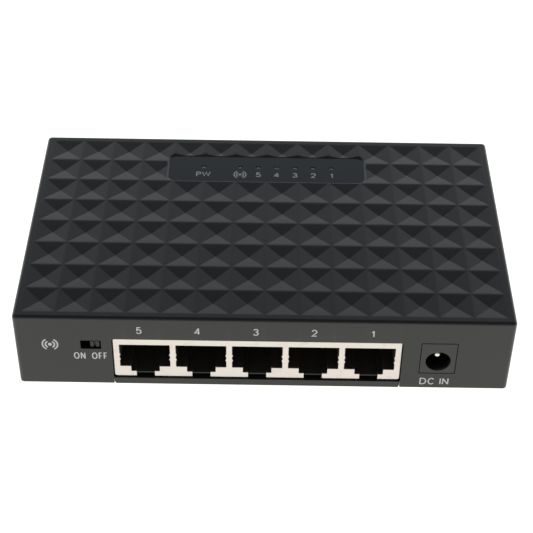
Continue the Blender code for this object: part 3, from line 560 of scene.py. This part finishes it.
def caseRing(inset, height, linesX, linesY):
    # the case's outline drawn in by inset: straight sides with the lid's own lines, and round corners
    hx, hy = halfX - inset, halfY - inset
    r = max(case["corner"] - inset, 0.0)
    alongX, alongY = linesX / fieldX * (hx - r), linesY / fieldY * (hy - r)
    turn = quarter(case["arcSteps"])[1:-1]
    sides = [
        np.stack([alongX, np.full_like(alongX, -hy)], axis=1),
        np.stack([hx - r + r * np.sin(turn), -hy + r - r * np.cos(turn)], axis=1),
        np.stack([np.full_like(alongY, hx), alongY], axis=1),
        np.stack([hx - r + r * np.cos(turn), hy - r + r * np.sin(turn)], axis=1),
    ]
    half = np.concatenate(sides)
    ring = np.concatenate([half, -half])
    return laid(ring, height, "top")


def caseSolid():
    # rings run from the lid's underside down the inner wall, round the foot, up the outer wall and
    # over the rim, and the lid's grid closes them; grid squares are split along the pyramids' valleys
    linesX = facetLines(case["columns"], fieldX)
    linesY = facetLines(case["rows"], fieldY)
    low, foot = caseLow[2], case["footRound"]
    turn = quarter(case["rimSteps"])
    rim = case["rim"]
    stations = [
        (case["wall"], lidTop - case["lid"]),
        (case["wall"], low),
        (foot, low),
        (foot * 0.3, low + foot * 0.3),
        (0, low + foot),
        *zip(rim * (1 - np.cos(turn)), lidTop - rim * (1 - np.sin(turn))),
        (case["margin"], lidTop),
    ]
    rings = np.array([caseRing(inset, height, linesX, linesY) for inset, height in stations])
    points, faces = carried(rings)
    faces.pop()

    x, y = np.meshgrid(linesX, linesY, indexing="ij")
    field = np.stack([x, y, lidTop + sunkPyramids(x, y)], axis=-1).reshape(-1, 3)
    index = np.arange(len(field)).reshape(x.shape) + len(points)
    a, b, c, d = (index[:-1, :-1], index[1:, :-1], index[1:, 1:], index[:-1, 1:])
    midX = (linesX[:-1] + linesX[1:]) / 2
    midY = (linesY[:-1] + linesY[1:]) / 2
    u = ((midX + fieldX) / facetX) % 1.0 - 0.5
    v = ((midY + fieldY) / facetY) % 1.0 - 0.5
    rising = (u[:, None] * v[None, :]) > 0
    first = np.where(rising[..., None], np.stack([a, b, c], -1), np.stack([a, b, d], -1))
    second = np.where(rising[..., None], np.stack([a, c, d], -1), np.stack([b, c, d], -1))
    faces += first.reshape(-1, 3).tolist() + second.reshape(-1, 3).tolist()
    return np.concatenate([points, field]), faces


def reworked(mesh, change):
    # the mesh after a change to its editable form
    work = bmesh.new()
    work.from_mesh(mesh)
    change(work)
    work.to_mesh(mesh)
    work.free()
    return mesh


def weld(work):
    # the points that lie together become one
    bmesh.ops.remove_doubles(work, verts=work.verts, dist=1e-6)


def stripCutter():
    # the lamp strip's pocket: its walls lean out from the floor to the mouth, and both edges are
    # arcs that touch the flat on one side and the leaning wall on the other
    front = -fieldY + lampStrip["row"] * facetY
    back = front + facetY + lampStrip["back"]
    half = lampStrip["columns"] / 2 * facetX + lampStrip["side"]
    outline = roundedBox((-half, front), (half, back), lampStrip["corner"], 16)
    depth, slope = lampStrip["depth"], lampStrip["slope"]
    lean = np.arctan2(depth, slope)
    turn = np.linspace(0, lean, 5)
    foot, brow = lampStrip["footRound"], lampStrip["browRound"]
    reach = np.tan(lean / 2)
    footOut = -slope - foot * reach + foot * np.sin(turn)
    footUp = lidTop - depth + foot * (1 - np.cos(turn))
    browOut = brow * reach - brow * np.sin(turn[::-1])
    browUp = lidTop - brow * (1 - np.cos(turn[::-1]))
    above = (brow * reach + 0.02, lidTop + 0.5)
    stations = [*zip(footOut, footUp), *zip(browOut, browUp), above]
    return carried([laid(grown(outline, g), h, "top") for g, h in stations])


def caseOpenings():
    # what is cut from the front wall and the lid
    front, inside = -caseLow[1], -caseLow[1] - case["wall"] - 1.0
    gap, lip = case["gap"], case["lip"]
    slotHalf = np.array([switchSlot["width"], switchSlot["height"]]) / 2
    slotMiddle = np.array([switchSlot["x"], switchSlot["z"]])
    slotOutline = roundedBox(slotMiddle - slotHalf, slotMiddle + slotHalf, switchSlot["corner"])
    socketLow = (shieldLow[0] - gap, caseLow[2] - 2.0)
    socketHigh = (shieldHigh[0] + gap, shieldHigh[2] + gap)
    socketOutline = roundedBox(socketLow, socketHigh, case["socketCorners"])
    powerOutline = roundedBox(powerLow[::2] - gap, powerHigh[::2] + gap, case["powerCorner"])
    cuts = [
        mouth(slotOutline, inside, front, lip, "front"),
        mouth(socketOutline, inside, front, lip * case["softerLip"], "front"),
        mouth(powerOutline, inside, front, lip * case["softerLip"], "front"),
    ]
    stripFloor = lidTop - lampStrip["depth"]
    for node in lampNodes:
        hole = circle(middleOf(node)[:2], lampStrip["hole"], 32)
        under = lidTop - case["lid"] - 1.0
        cuts.append(mouth(hole, under, stripFloor, lampStrip["holeLip"], "top", beyond=2.0))
    return together(*cuts)


def casePosts():
    # the posts that hang from the lid for the cover's screws, the board's screws and its two pegs, and
    # the pilot holes that go into them
    root = lidTop - case["lid"] + 0.5
    boardLow, boardHigh = boxOf("main_board")
    shoulder = boardHigh[2] + post["boardGap"]
    posts, pilots = [], []
    for cornerName in cornerNames:
        centre = middleOf(f"cover_screw_{cornerName}")[:2]
        posts.append(prism(circle(centre, post["radius"]), post["coverFoot"], root, "top"))
        pilots.append(prism(circle(centre, post["coverPilot"], 24), *post["coverPilotEnds"], "top"))
    for sideName, side in (("left", -1), ("right", 1)):
        centre = middleOf(f"board_screw_{sideName}")[:2]
        posts.append(prism(circle(centre, post["radius"]), shoulder, root, "top"))
        pilots.append(prism(circle(centre, post["boardPilot"], 24), boardHigh[2] - 1.0, root - 0.5, "top"))
        pegPlace = (side * case["pegX"], case["pegY"])
        posts.append(prism(circle(pegPlace, post["pegShoulder"]), shoulder, root, "top"))
        pegFoot = boardLow[2] - post["pegBelow"]
        posts.append(prism(circle(pegPlace, post["peg"], 24), pegFoot, boardHigh[2] + 0.6, "top"))
    return posts, together(*pilots)


def caseFinish():
    # the case's satin plastic, polished and darker on the lamp strip's floor
    front = -fieldY + lampStrip["row"] * facetY
    half = lampStrip["columns"] / 2 * facetX + lampStrip["side"] - lampStrip["slope"]
    back = front + facetY + lampStrip["back"]
    fade = lampStrip["polishFade"] / 2
    strip = {
        "low": (-half - fade, front + lampStrip["slope"] - fade, lidTop - lampStrip["depth"] - 1.0),
        "high": (half + fade, back - lampStrip["slope"] + fade, lidTop + 1.0),
        "colour": (0.0075, 0.009, 0.0105),
        "roughness": 0.15,
        "fade": lampStrip["polishFade"],
    }
    tones = (0.0095, 0.0105, 0.0115), (0.0115, 0.0118, 0.0115)
    return mouldedPlastic("casePlastic", *tones, 0.33, 5.0, 0.004, polished=strip)


def creaseLid(work):
    # facets meet at a few degrees, so their valleys are creased by a finer angle than the rest
    for edge in work.edges:
        angle = edge.calc_face_angle(0.0)
        onLid = all(face.normal.z > 0.985 for face in edge.link_faces)
        edge.smooth = angle < np.radians(5.0 if onLid else 28.0)
    for face in work.faces:
        face.smooth = True


def makeCase():
    posts, pilots = casePosts()
    shell = carved(
        reworked(meshOf("case", caseSolid()), weld),
        joins=[together(*posts[0::2]), together(*posts[1::2])],
        cuts=[pilots, stripCutter(), caseOpenings()],
    )
    reworked(shell, creaseLid)
    finishes["casePlastic"] = caseFinish()
    evenNormals(makePiece("case_shell", shell, "casePlastic", ["top_cover"], smooth=0))


makeCase()

base = {
    "plate": 2.0, "gap": 0.3, "soften": 0.2, "lipGap": 0.2, "notchWide": 0.3, "notchTall": 0.55,
    "padRadius": 4.2, "pocketRadius": 2.7, "pocketTop": 4.1, "holeRadius": 1.7, "footRadius": 4.8,
    "footDepth": 0.6, "vents": 13, "ventPitch": 5.2, "ventHalf": 0.9, "ventMiddle": 6.0,
    "ventLength": 24.0,
}


def lipOutline():
    # the lip under the sockets: a bar with a small notch at each lower corner
    left, right = shieldLow[0], shieldHigh[0]
    low, high = floorLow[2], shieldLow[2] - base["lipGap"]
    wide, tall = base["notchWide"], base["notchTall"]
    lower = [(left, low + tall), (left + wide, low), (right - wide, low), (right, low + tall)]
    corners = [*lower[1:], (right, high), (left, high), lower[0]]
    return roundedOutline(corners, 0.1, 3)


def makeBase():
    # the floor plate with its lip, its screw pads and pockets, its foot pockets and its vents
    under, plateTop = floorLow[2], floorLow[2] + base["plate"]
    plateFront = caseLow[1] + case["wall"] + base["gap"]
    plateOutline = roundedBox((floorLow[0], plateFront), (floorHigh[0], floorHigh[1]), 0.8)
    plate = moulded(plateOutline, under, plateTop, base["soften"], "top")
    lip = moulded(lipOutline(), -plateFront - 1.0, -caseLow[1], 0.08, "front")
    pads, openings, holes = [], [], []
    for cornerName in cornerNames:
        centre = middleOf(f"cover_screw_{cornerName}")[:2]
        pads.append(prism(circle(centre, base["padRadius"]), under + 0.5, floorHigh[2], "top"))
        pocket = circle(centre, base["pocketRadius"])
        openings.append(mouth(pocket, base["pocketTop"], under, base["soften"], "top"))
        holes.append(prism(circle(centre, base["holeRadius"], 24), under + 1.0, floorHigh[2] + 1.0, "top"))
        footPlace = circle(middleOf(f"foot_{cornerName}")[:2], base["footRadius"], 72)
        openings.append(mouth(footPlace, under + base["footDepth"], under, 0.1, "top"))
    low = base["ventMiddle"] - base["ventLength"] / 2
    for step in range(base["vents"]):
        across = (step - (base["vents"] - 1) / 2) * base["ventPitch"]
        ventHigh = (across + base["ventHalf"], low + base["ventLength"])
        ventOutline = roundedBox((across - base["ventHalf"], low), ventHigh, base["ventHalf"] - 0.01, 8)
        openings.append(mouth(ventOutline, plateTop + 1.0, under, base["soften"], "top"))
    shape = carved(plate, joins=[together(lip, *pads)], cuts=[together(*openings), together(*holes)])
    makePiece("base_cover", shape, "basePlastic", ["bottom_cover"])


makeBase()

print("network switch: sockets")

jack = {
    "width": 12.5, "top": 14.65, "shelf": 7.3, "step": 5.6, "stepWidth": 7.1, "latchWidth": 4.5,
    "corner": 0.7,
    "mouthCorner": 0.14,  # stays above the lip, so that the flared outline can't fold
    "mouthLip": 0.1, "bend": 0.3, "sheet": 0.3, "bump": 0.2, "bumpTall": 0.8,
    "bumpLevels": (9.3, 10.9), "relief": 7.0,
}


def mouthOutline(middle, low):
    # a wide body with two small spring bumps on each side, a step, and the latch's channel below
    half, step, latch = jack["width"] / 2, jack["stepWidth"] / 2, jack["latchWidth"] / 2
    right = [(latch, low), (latch, jack["step"]), (step, jack["step"])]
    right += [(step, jack["shelf"]), (half, jack["shelf"])]
    bump, tall = jack["bump"], jack["bumpTall"]
    for level in jack["bumpLevels"]:
        right += [
            (half, level),
            (half - bump, level + tall * 0.3),
            (half - bump, level + tall * 0.7),
            (half, level + tall),
        ]
    right.append((half, jack["top"]))
    left = [(-x, z) for x, z in reversed(right)]
    return roundedOutline([(middle + x, z) for x, z in right + left], jack["mouthCorner"], 3)


def makeShield():
    # folded sheet: a rounded front, thin sides, floor and back, open above
    front, back = -shieldLow[1], -shieldHigh[1]
    outline = roundedBox(shieldLow[::2], shieldHigh[::2], jack["corner"], 8)
    turn = quarter(5)
    bend = jack["bend"]
    insets = [0, *(bend * (1 - np.cos(turn)))]
    heights = [back, *(front - bend * (1 - np.sin(turn)))]
    blank = carried([laid(grown(outline, -i), h, "front") for i, h in zip(insets, heights)])
    sheet = jack["sheet"]
    innerLow = (shieldLow[0] + sheet, shieldLow[2] + sheet)
    inner = rectangle(innerLow, (shieldHigh[0] - sheet, shieldHigh[2] + 1.0))
    hollow = prism(inner, back + sheet, front - sheet, "front")
    mouths, reliefs = [], []
    latch = jack["latchWidth"] / 2
    for middle in ports:
        outlineHere = mouthOutline(middle, shieldLow[2] - 2.0)
        mouths.append(mouth(outlineHere, front - sheet - 0.2, front, jack["mouthLip"], "front", 3))
        reliefEnd = (middle + latch, -front + jack["relief"])
        relief = roundedBox((middle - latch, -front - 1.0), reliefEnd, 0.4)
        reliefs.append(prism(relief, shieldLow[2] - 1.0, shieldLow[2] + sheet + 0.2, "top"))
    shell = carved(blank, cuts=[hollow, together(*mouths), together(*reliefs)])
    makePiece("socket_shield", shell, "shieldPlate", ["jack_shield"])


contact = {"count": 8, "pitch": 1.02, "width": 0.42, "thickness": 0.26, "plate": 1.5}


def makeContacts(number, middle):
    # a moulded plate and eight sprung wires: each leaves the plate's front edge, folds back and
    # hangs in the socket as a straight run with a soft curl at its end
    node = f"contact_set_{number}"
    low, high = boxOf(node)
    plateLow = high[2] - contact["plate"]
    plateOutline = roundedBox((low[0], plateLow), (high[0], high[2]), 0.15, 3)
    plate = moulded(plateOutline, -high[1], -low[1], 0.12, "front")
    makePiece(f"contact_plate_{number}", plate, "jackBlack", [node])
    start = low[1]
    corner = [
        (start + 4.5, plateLow - 0.16),
        (start + 1.3, plateLow - 0.16),
        (start + 0.9, plateLow - 0.75),
        (start + 6.3, low[2] + 0.75),
        (start + 9.3, low[2] + 0.3),
    ]
    path = springPath(corner)
    steps = (np.arange(contact["count"]) - (contact["count"] - 1) / 2) * contact["pitch"]
    wires = [alongPath(path, contact["width"], contact["thickness"], middle + x) for x in steps]
    makePiece(f"contact_wires_{number}", together(*wires), "contactGold")


def springPath(corners, steps=28):
    # a quadratic B-spline through the corner list: each short arc starts and ends half way along a side
    corners = np.asarray(corners, float)
    ends = (corners[:-1] + corners[1:]) / 2
    ends[0], ends[-1] = corners[0], corners[-1]
    t = np.linspace(0, 1, steps // (len(corners) - 2) + 2)[:-1, None]
    arcs = [
        (1 - t) ** 2 * ends[i] + 2 * t * (1 - t) * corners[i + 1] + t**2 * ends[i + 1]
        for i in range(len(corners) - 2)
    ]
    return np.concatenate([*arcs, corners[-1:]])


makeShield()
for portNumber, portMiddle in enumerate(ports, start=1):
    makeContacts(portNumber, portMiddle)

print("network switch: power socket and slide switch")

power = {
    "bore": 3.1, "boreDepth": 10.5, "centreZ": 10.85, "corner": 0.3, "edge": 0.15, "chamfer": 0.18,
    "pinWay": 1.3, "pinDome": 0.8, "leafHalf": 1.4, "leafRise": (1.7, 4.4),
}


def makePowerSocket():
    # a square block with soft edges and a round bore whose mouth is eased
    front, back = -powerLow[1], -powerHigh[1]
    centre = ((powerLow[0] + powerHigh[0]) / 2, power["centreZ"])
    outline = roundedBox(powerLow[::2], powerHigh[::2], power["corner"])
    blank = moulded(outline, back, front, power["edge"], "front")
    boreEnd = front - power["boreDepth"]
    bore = mouth(circle(centre, power["bore"], 72), boreEnd, front, power["chamfer"], "front")
    way = prism(circle(centre, power["pinWay"], 32), back - 1.0, boreEnd + 1.0, "front")
    leafLow, leafHigh = (centre[1] + rise for rise in power["leafRise"])
    half = power["leafHalf"]
    leafWay = rectangle((centre[0] - half, leafLow), (centre[0] + half, leafHigh))
    channel = prism(leafWay, back - 1.0, front - 2.0, "front")
    shell = carved(blank, cuts=[bore, way, channel])
    makePiece("power_socket", shell, "powerBlack", ["dc_jack_body"])

    pinLow, pinHigh = boxOf("dc_jack_pin")
    radius = (pinHigh[0] - pinLow[0]) / 2
    profile = [(radius, pinLow[1] - pinHigh[1]), *domed(radius, radius * power["pinDome"], 9)]
    pin = turned(profile, (centre[0], pinLow[1], power["centreZ"]), "front", 48)
    makePiece("power_pin", pin, "pinNickel", ["dc_jack_pin"])


makePowerSocket()

knob = {"width": 2.3, "height": 1.95, "groove": 0.25, "grooveDepth": 0.45, "edge": 0.15, "corner": 0.25}


def makeKnob():
    # the finger piece with its groove, on the wider slider behind the window
    low, high = boxOf("switch_knob")
    middle = np.array([(low[0] + high[0]) / 2, switchSlot["z"]])
    tip, backEnd = -low[1], -high[1]
    sliderFront = backEnd + 1.1
    half = np.array([knob["width"], knob["height"]]) / 2
    fingerOutline = roundedBox(middle - half, middle + half, knob["corner"])
    finger = moulded(fingerOutline, sliderFront - 0.5, tip, knob["edge"], "front")
    sliderOutline = roundedBox(low[::2], high[::2], knob["corner"])
    slider = moulded(sliderOutline, backEnd, sliderFront, 0.1, "front")
    stations = ((0.7, tip - knob["grooveDepth"]), (1.0, tip - 0.12), (1.7, tip + 0.1))
    grooves = []
    for wide, height in stations:
        size = np.array([knob["groove"] * wide, 2.0])
        grooves.append(laid(rectangle(middle - size, middle + size), height, "front"))
    shape = carved(finger, joins=[slider], cuts=[carried(grooves)])
    makePiece("slide_knob", shape, "knobBlack", ["switch_knob"], body="knob")


makeKnob()

print("network switch: lamps, feet and screws")

lens = {"radius": 0.73, "dome": 0.2, "sunk": 0.3, "barCorner": 0.3, "barEdge": 0.15}


def makeLenses():
    # the light guide's bar, and a peg with a domed tip in each lamp's hole
    low, high = boxOf("light_guide")
    barTop = lidTop - case["lid"] - case["gap"]
    barOutline = roundedBox(low[:2], high[:2], lens["barCorner"])
    bar = moulded(barOutline, low[2], barTop, lens["barEdge"], "top")
    tip = high[2]
    foot = barTop - lens["sunk"] - tip
    profile = [(lens["radius"], foot), *domed(lens["radius"], lens["dome"], 7)]
    pegs = []
    for node in lampNodes:
        centre = middleOf(node)
        pegs.append(turned(profile, (centre[0], centre[1], tip), "z", 32))
    guide = carved(bar, joins=[together(*pegs)])
    makePiece("lamp_guide", guide, "lampLens", ["light_guide"])


makeLenses()

foot = {"soft": 0.5, "hollow": 0.15}


def makeFoot(node):
    # a soft disc with a round lower edge and a slight hollow underneath
    low, high = boxOf(node)
    middle, radius = (low + high) / 2, (high[0] - low[0]) / 2
    turn = quarter(7)
    soft = foot["soft"]
    edge = [(radius - soft + soft * np.sin(a), low[2] + soft * (1 - np.cos(a))) for a in turn]
    hollow = [
        (0.05, low[2] + foot["hollow"]),
        (radius * 0.55, low[2] + foot["hollow"] * 0.8),
        (radius * 0.78, low[2]),
    ]
    disc = turned([*hollow, *edge, (radius, high[2])], (middle[0], middle[1], 0), "z", 72)
    makePiece(f"rubber_{node}", disc, "footRubber", [node])


def makeScrew(node, headHeight):
    # a round head with a cross recess, over a shank whose thread is a row of fine ridges
    low, high = boxOf(node)
    middle, radius = (low + high) / 2, (high[0] - low[0]) / 2
    seat = low[2] + headHeight
    turn = quarter(7)[1:]
    crown = [(radius * np.sin(a), seat - headHeight * (0.45 + 0.55 * np.cos(a))) for a in turn]
    shank = radius * 0.54
    levels = np.arange(seat + 0.3, high[2] - 1.2, 0.225)
    ridges = [(shank * (1.0 if i % 2 else 0.82), z) for i, z in enumerate(levels)]
    profile = [(0.05, low[2]), *crown, (radius, seat), (shank * 0.82, seat), *ridges, (0.1, high[2])]
    long, short = radius * 0.6, 0.3
    recess = []
    for size in (np.array([long, short]), np.array([short, long])):
        bar = rectangle(middle[:2] - size, middle[:2] + size)
        recess.append(prism(bar, low[2] - 0.5, low[2] + headHeight * 0.6, "top"))
    head = turned(profile, (middle[0], middle[1], 0), "z", 40)
    shape = carved(head, cuts=recess)
    makePiece(f"fine_{node}", shape, "screwSteel", [node])


for cornerName in cornerNames:
    makeFoot(f"foot_{cornerName}")
    makeScrew(f"cover_screw_{cornerName}", 1.6)
for sideName in ("left", "right"):
    makeScrew(f"board_screw_{sideName}", 1.4)


print("network switch: printed marks")

ink = {"thickness": 0.02, "lift": 0.004, "stroke": 0.135}


def bow(centre, reach, start, end, steps=12):
    # points round an ellipse from one angle to another, in degrees
    turn = np.radians(np.linspace(start, end, steps + 1))
    return np.stack([centre[0] + reach[0] * np.cos(turn), centre[1] + reach[1] * np.sin(turn)], axis=1)


def chained(*parts):
    # runs of points, end to end, as one line
    return np.concatenate([np.atleast_2d(np.asarray(part, float)) for part in parts])


# each sign is its width for a height of 1, and the strokes' middle lines in a box from 0 to 1
signs = {
    "1": (0.36, [[(1, 0), (1, 1)], [(0, 0.72), (1, 0.96)]]),
    "2": (0.64, [chained(bow((0.5, 0.7), (0.5, 0.3), 170, -38), [(0, 0), (1, 0)])]),
    "3": (0.64, [bow((0.48, 0.76), (0.44, 0.24), 165, -95), bow((0.48, 0.27), (0.52, 0.27), 95, -165)]),
    "4": (0.68, [[(1, 0.26), (0, 0.26), (0.74, 1)], [(0.74, 1), (0.74, 0)]]),
    "5": (0.64, [[(0.93, 1), (0.18, 1), (0.06, 0.46)], bow((0.47, 0.32), (0.53, 0.32), 142, -158)]),
    "C": (0.78, [bow((0.5, 0.5), (0.5, 0.5), 42, 318, 20)]),
    "D": (0.74, [chained((0, 0), (0, 1), bow((0.42, 0.5), (0.58, 0.5), 90, -90))]),
    "F": (0.56, [[(0, 0), (0, 1), (1, 1)], [(0, 0.5), (0.86, 0.5)]]),
    "I": (0.135, [[(0, 0), (0, 1)]]),
    "N": (0.7, [[(0, 0), (0, 1)], [(0, 1), (1, 0)], [(1, 0), (1, 1)]]),
    "O": (0.84, [bow((0.5, 0.5), (0.5, 0.5), 90, -252, 19)]),
    "P": (0.64, [[(0, 0), (0, 1)], chained((0, 1), bow((0.58, 0.74), (0.42, 0.26), 90, -90), (0, 0.48))]),
    "W": (1.1, [[(0, 1), (0.25, 0.04), (0.5, 0.96), (0.75, 0.04), (1, 1)]]),
}
roundSigns = "DO"  # their first stroke joins up with itself


def ribbon(path, width, closed, place):
    # a flat band along a path: every point moves out to both sides, square to the path, and at a
    # corner far enough that both edges keep the width; place sets (across, up, level) in the model
    path = np.asarray(path, float)
    ahead = np.roll(path, -1, axis=0) - path
    behind = np.roll(ahead, 1, axis=0)
    if not closed:
        ahead[-1], behind[0] = ahead[-2], ahead[0]
    ahead = ahead / np.linalg.norm(ahead, axis=1, keepdims=True)
    behind = behind / np.linalg.norm(behind, axis=1, keepdims=True)
    both = ahead + behind
    both = both * 2 / np.maximum((both * both).sum(1, keepdims=True), 0.8)
    out = np.stack([both[:, 1], -both[:, 0]], axis=1) * width / 2
    left, right = path - out, path + out
    low, high = ink["lift"], ink["lift"] + ink["thickness"]
    edges = [(right, low), (left, low), (left, high), (right, high)]
    corners = [place(edge[:, 0], edge[:, 1], np.full(len(edge), level)) for edge, level in edges]
    section = np.stack(corners, axis=1)
    if not closed:
        return carried(section)
    count = len(path)
    faces = ringFaces(count + 1, 4) % (4 * count)
    return section.reshape(-1, 3), faces.tolist()


def printedWords(name, words, centre, height, wide, plane, finish, spacing=0.12, weight=1.0):
    # signs side by side, centred on a point of the front or the lid; wide scales their widths
    stroke = ink["stroke"] * height * weight
    widths = [signs[letter][0] * height * wide if letter != " " else 0.25 * height for letter in words]
    step = spacing * height * wide
    start = -(sum(widths) + step * (len(words) - 1)) / 2
    place = setInPlane(centre, plane)
    letters = []
    for letter, width in zip(words, widths):
        width = max(width, stroke)
        if letter != " ":
            solids = []
            for line in signs[letter][1]:
                line = np.asarray(line, float)
                across = start + stroke / 2 + line[:, 0] * (width - stroke)
                up = -height / 2 + stroke / 2 + line[:, 1] * (height - stroke)
                closed = letter in roundSigns
                solids.append(ribbon(np.stack([across, up], axis=1), stroke, closed, place))
            letters.append(carved(solids[0], joins=solids[1:]))
        start += width + step
    makePiece(name, joined(letters), finish, smooth=0)


def joined(meshes):
    # several meshes as one, which is the first
    first, *rest = meshes

    def addRest(work):
        for mesh in rest:
            work.from_mesh(mesh)
            bpy.data.meshes.remove(mesh)

    return reworked(first, addRest)


def setInPlane(centre, plane):
    # the rule that takes a mark's (across, up, level) to the model, about its centre on a surface
    def place(across, up, level):
        if plane == "front":
            return np.stack([centre[0] + across, caseLow[1] - level, centre[1] + up], axis=1)
        return np.stack([centre[0] + across, centre[1] + up, centre[2] + level], axis=1)

    return place


# the wave sign, measured on one that is this wide
wave = {"width": 4.3, "dot": 0.5, "arcs": (1.12, 1.88), "spread": 60, "stroke": 0.38}


def waveMark(name, centre, width, plane, finish):
    # a dot between two pairs of arcs
    scale = width / wave["width"]
    place = setInPlane(centre, plane)
    dot = circle((0, 0), wave["dot"] * scale, 32)
    levels = (ink["lift"], ink["lift"] + ink["thickness"])
    solids = [carried([place(dot[:, 0], dot[:, 1], np.full(len(dot), level)) for level in levels])]
    spread = wave["spread"]
    for radius in wave["arcs"]:
        for side in (0, 180):
            line = bow((0, 0), (radius * scale, radius * scale), side - spread, side + spread, 20)
            solids.append(ribbon(line, wave["stroke"] * scale, False, place))
    makePiece(name, together(*solids), finish, smooth=0)


marks = {
    "portZ": 20.0, "portPitch": 14.29, "portMiddle": -2.1, "portHeight": 2.3, "switchZ": 11.15,
    "onX": -45.7, "offX": -40.75, "signal": (-52.75, 14.9), "powerMark": (42.8, 3.9),
    "lampDrop": 3.0, "lampHeight": 2.1,
}


def makeMarks():
    paint, lidPaint = "printInk", "lidInk"
    for number in range(1, 6):
        place = (marks["portMiddle"] + (3 - number) * marks["portPitch"], marks["portZ"])
        printedWords(f"mark_port_{number}", str(number), place, marks["portHeight"], 0.95, "front", paint)
    for word, across in (("ON", marks["onX"]), ("OFF", marks["offX"])):
        place = (across, marks["switchZ"])
        printedWords(f"mark_{word.lower()}", word, place, 2.3, 0.74, "front", paint, 0.16)
    waveMark("mark_signal", marks["signal"], 4.3, "front", paint)
    printedWords("mark_power_input", "DC IN", marks["powerMark"], 2.3, 1.0, "front", paint, 0.14)
    words = {"led_power": "PW", **{f"led_port_{number}": str(number) for number in range(1, 6)}}
    for node in lampNodes:
        centre = middleOf(node)
        place = (centre[0], centre[1] - marks["lampDrop"], lidTop - lampStrip["depth"])
        if node in words:
            sign, height = words[node], marks["lampHeight"]
            printedWords(f"mark_{node}", sign, place, height, 1.05, "top", lidPaint, 0.08, 1.25)
        else:
            waveMark(f"mark_{node}", place, 3.7, "top", lidPaint)


makeMarks()

print("network switch: finishes inside the case")

keptNodes = {
    "jackBlack": ["jack_housing", "switch_base", "switch_chip", "regulator", "diode"],
    "pinNickel": ["dc_jack_spring"],
    "switchFrameSteel": ["switch_frame"],
    "boardLaminate": ["main_board"],
    "screwSteel": ["crystal"],
    "capacitorSleeve": ["capacitor_input", "capacitor_output"],
    "ferriteDrum": ["inductor"],
    "lampResin": lampNodes,
}
keptNodes["jackBlack"] += [f"transformer_{number}" for number in range(1, 6)]
for finishName, kept in keptNodes.items():
    for node in kept:
        mesh = nodes[node].data
        mesh.materials.clear()
        mesh.materials.append(finishes[finishName])


print("network switch: floor, light and camera")

studio = {
    "floorSize": 6.0,
    "floorColour": (0.4, 0.395, 0.38),
    "floorGlow": (1.0, 0.998, 0.94),
    "floorGlowStrength": 1.12,
    # the sky's colour by the sine of its height, behind the model and in front of it
    "skyBehind": [
        (0.0, (1.15, 1.18, 1.21)),
        (0.45, (0.98, 1.03, 1.09)),
        (0.59, (0.4, 0.44, 0.48)),
        (0.7, (0.27, 0.295, 0.32)),
        (0.85, (0.15, 0.165, 0.18)),
        (1.0, (0.1, 0.11, 0.12)),
    ],
    "skyInFront": [
        (0.0, (0.46, 0.46, 0.465)),
        (0.45, (0.38, 0.385, 0.39)),
        (0.8, (0.17, 0.175, 0.18)),
        (1.0, (0.1, 0.11, 0.12)),
    ],
}


def makeFloor():
    half = studio["floorSize"] / 2
    mesh = bpy.data.meshes.new("floor")
    corners = rectangle((-half, -half), (half, half))
    mesh.from_pydata([(x, y, 0) for x, y in corners], [], [(0, 1, 2, 3)])
    finish = Finish("paleFloor", Roughness=0.8)
    finish.set(Base_Color=studio["floorColour"])
    finish.set(Emission_Color=studio["floorGlow"], Emission_Strength=studio["floorGlowStrength"])
    mesh.materials.append(finish.material)
    linked("floor", mesh)


def makeSky():
    # a soft wall of light stands behind the model: brightness falls with height, and falls away
    # towards the front
    world = bpy.data.worlds.new("lightTent")
    world.use_nodes = True
    sky = Graph(world.node_tree)
    facing = sky.add("TexCoord", output="Generated")
    depth = sky.add("SeparateXYZ", None, {0: facing}, "Y")
    height = sky.add("SeparateXYZ", None, {0: facing}, "Z")
    behind = sky.add("ValToRGB", {"stops": studio["skyBehind"]}, {0: height})
    inFront = sky.add("ValToRGB", {"stops": studio["skyInFront"]}, {0: height})
    colour = sky.blend(sky.softStep(depth, -0.3, 0.4), inFront, behind)
    feed(sky.tree.nodes["Background"].inputs["Color"], colour)
    bpy.context.scene.world = world


camera = {
    "place": (-0.77, -286.31, 260.17), "turn": 1.309, "tilt": 48.723, "lean": -1.152, "lens": 95.78,
    "sensor": 36.0,
}


def makeCamera():
    data = bpy.data.cameras.new("camera")
    data.lens = camera["lens"]
    data.sensor_width = camera["sensor"]
    data.clip_start, data.clip_end = 0.01, 20.0
    holder = linked("camera", data)
    turn = [np.radians(camera[word]) for word in ("turn", "tilt", "lean")]
    facing = Matrix.Identity(4)
    for angle, axis in zip(turn, "ZXY"):
        facing = facing @ Matrix.Rotation(angle, 4, axis)
    holder.matrix_world = Matrix.Translation([part * mm for part in camera["place"]]) @ facing
    bpy.context.scene.camera = holder


makeFloor()
makeSky()
makeCamera()
bpy.context.scene.view_settings.view_transform = "Standard"

print("network switch: done")
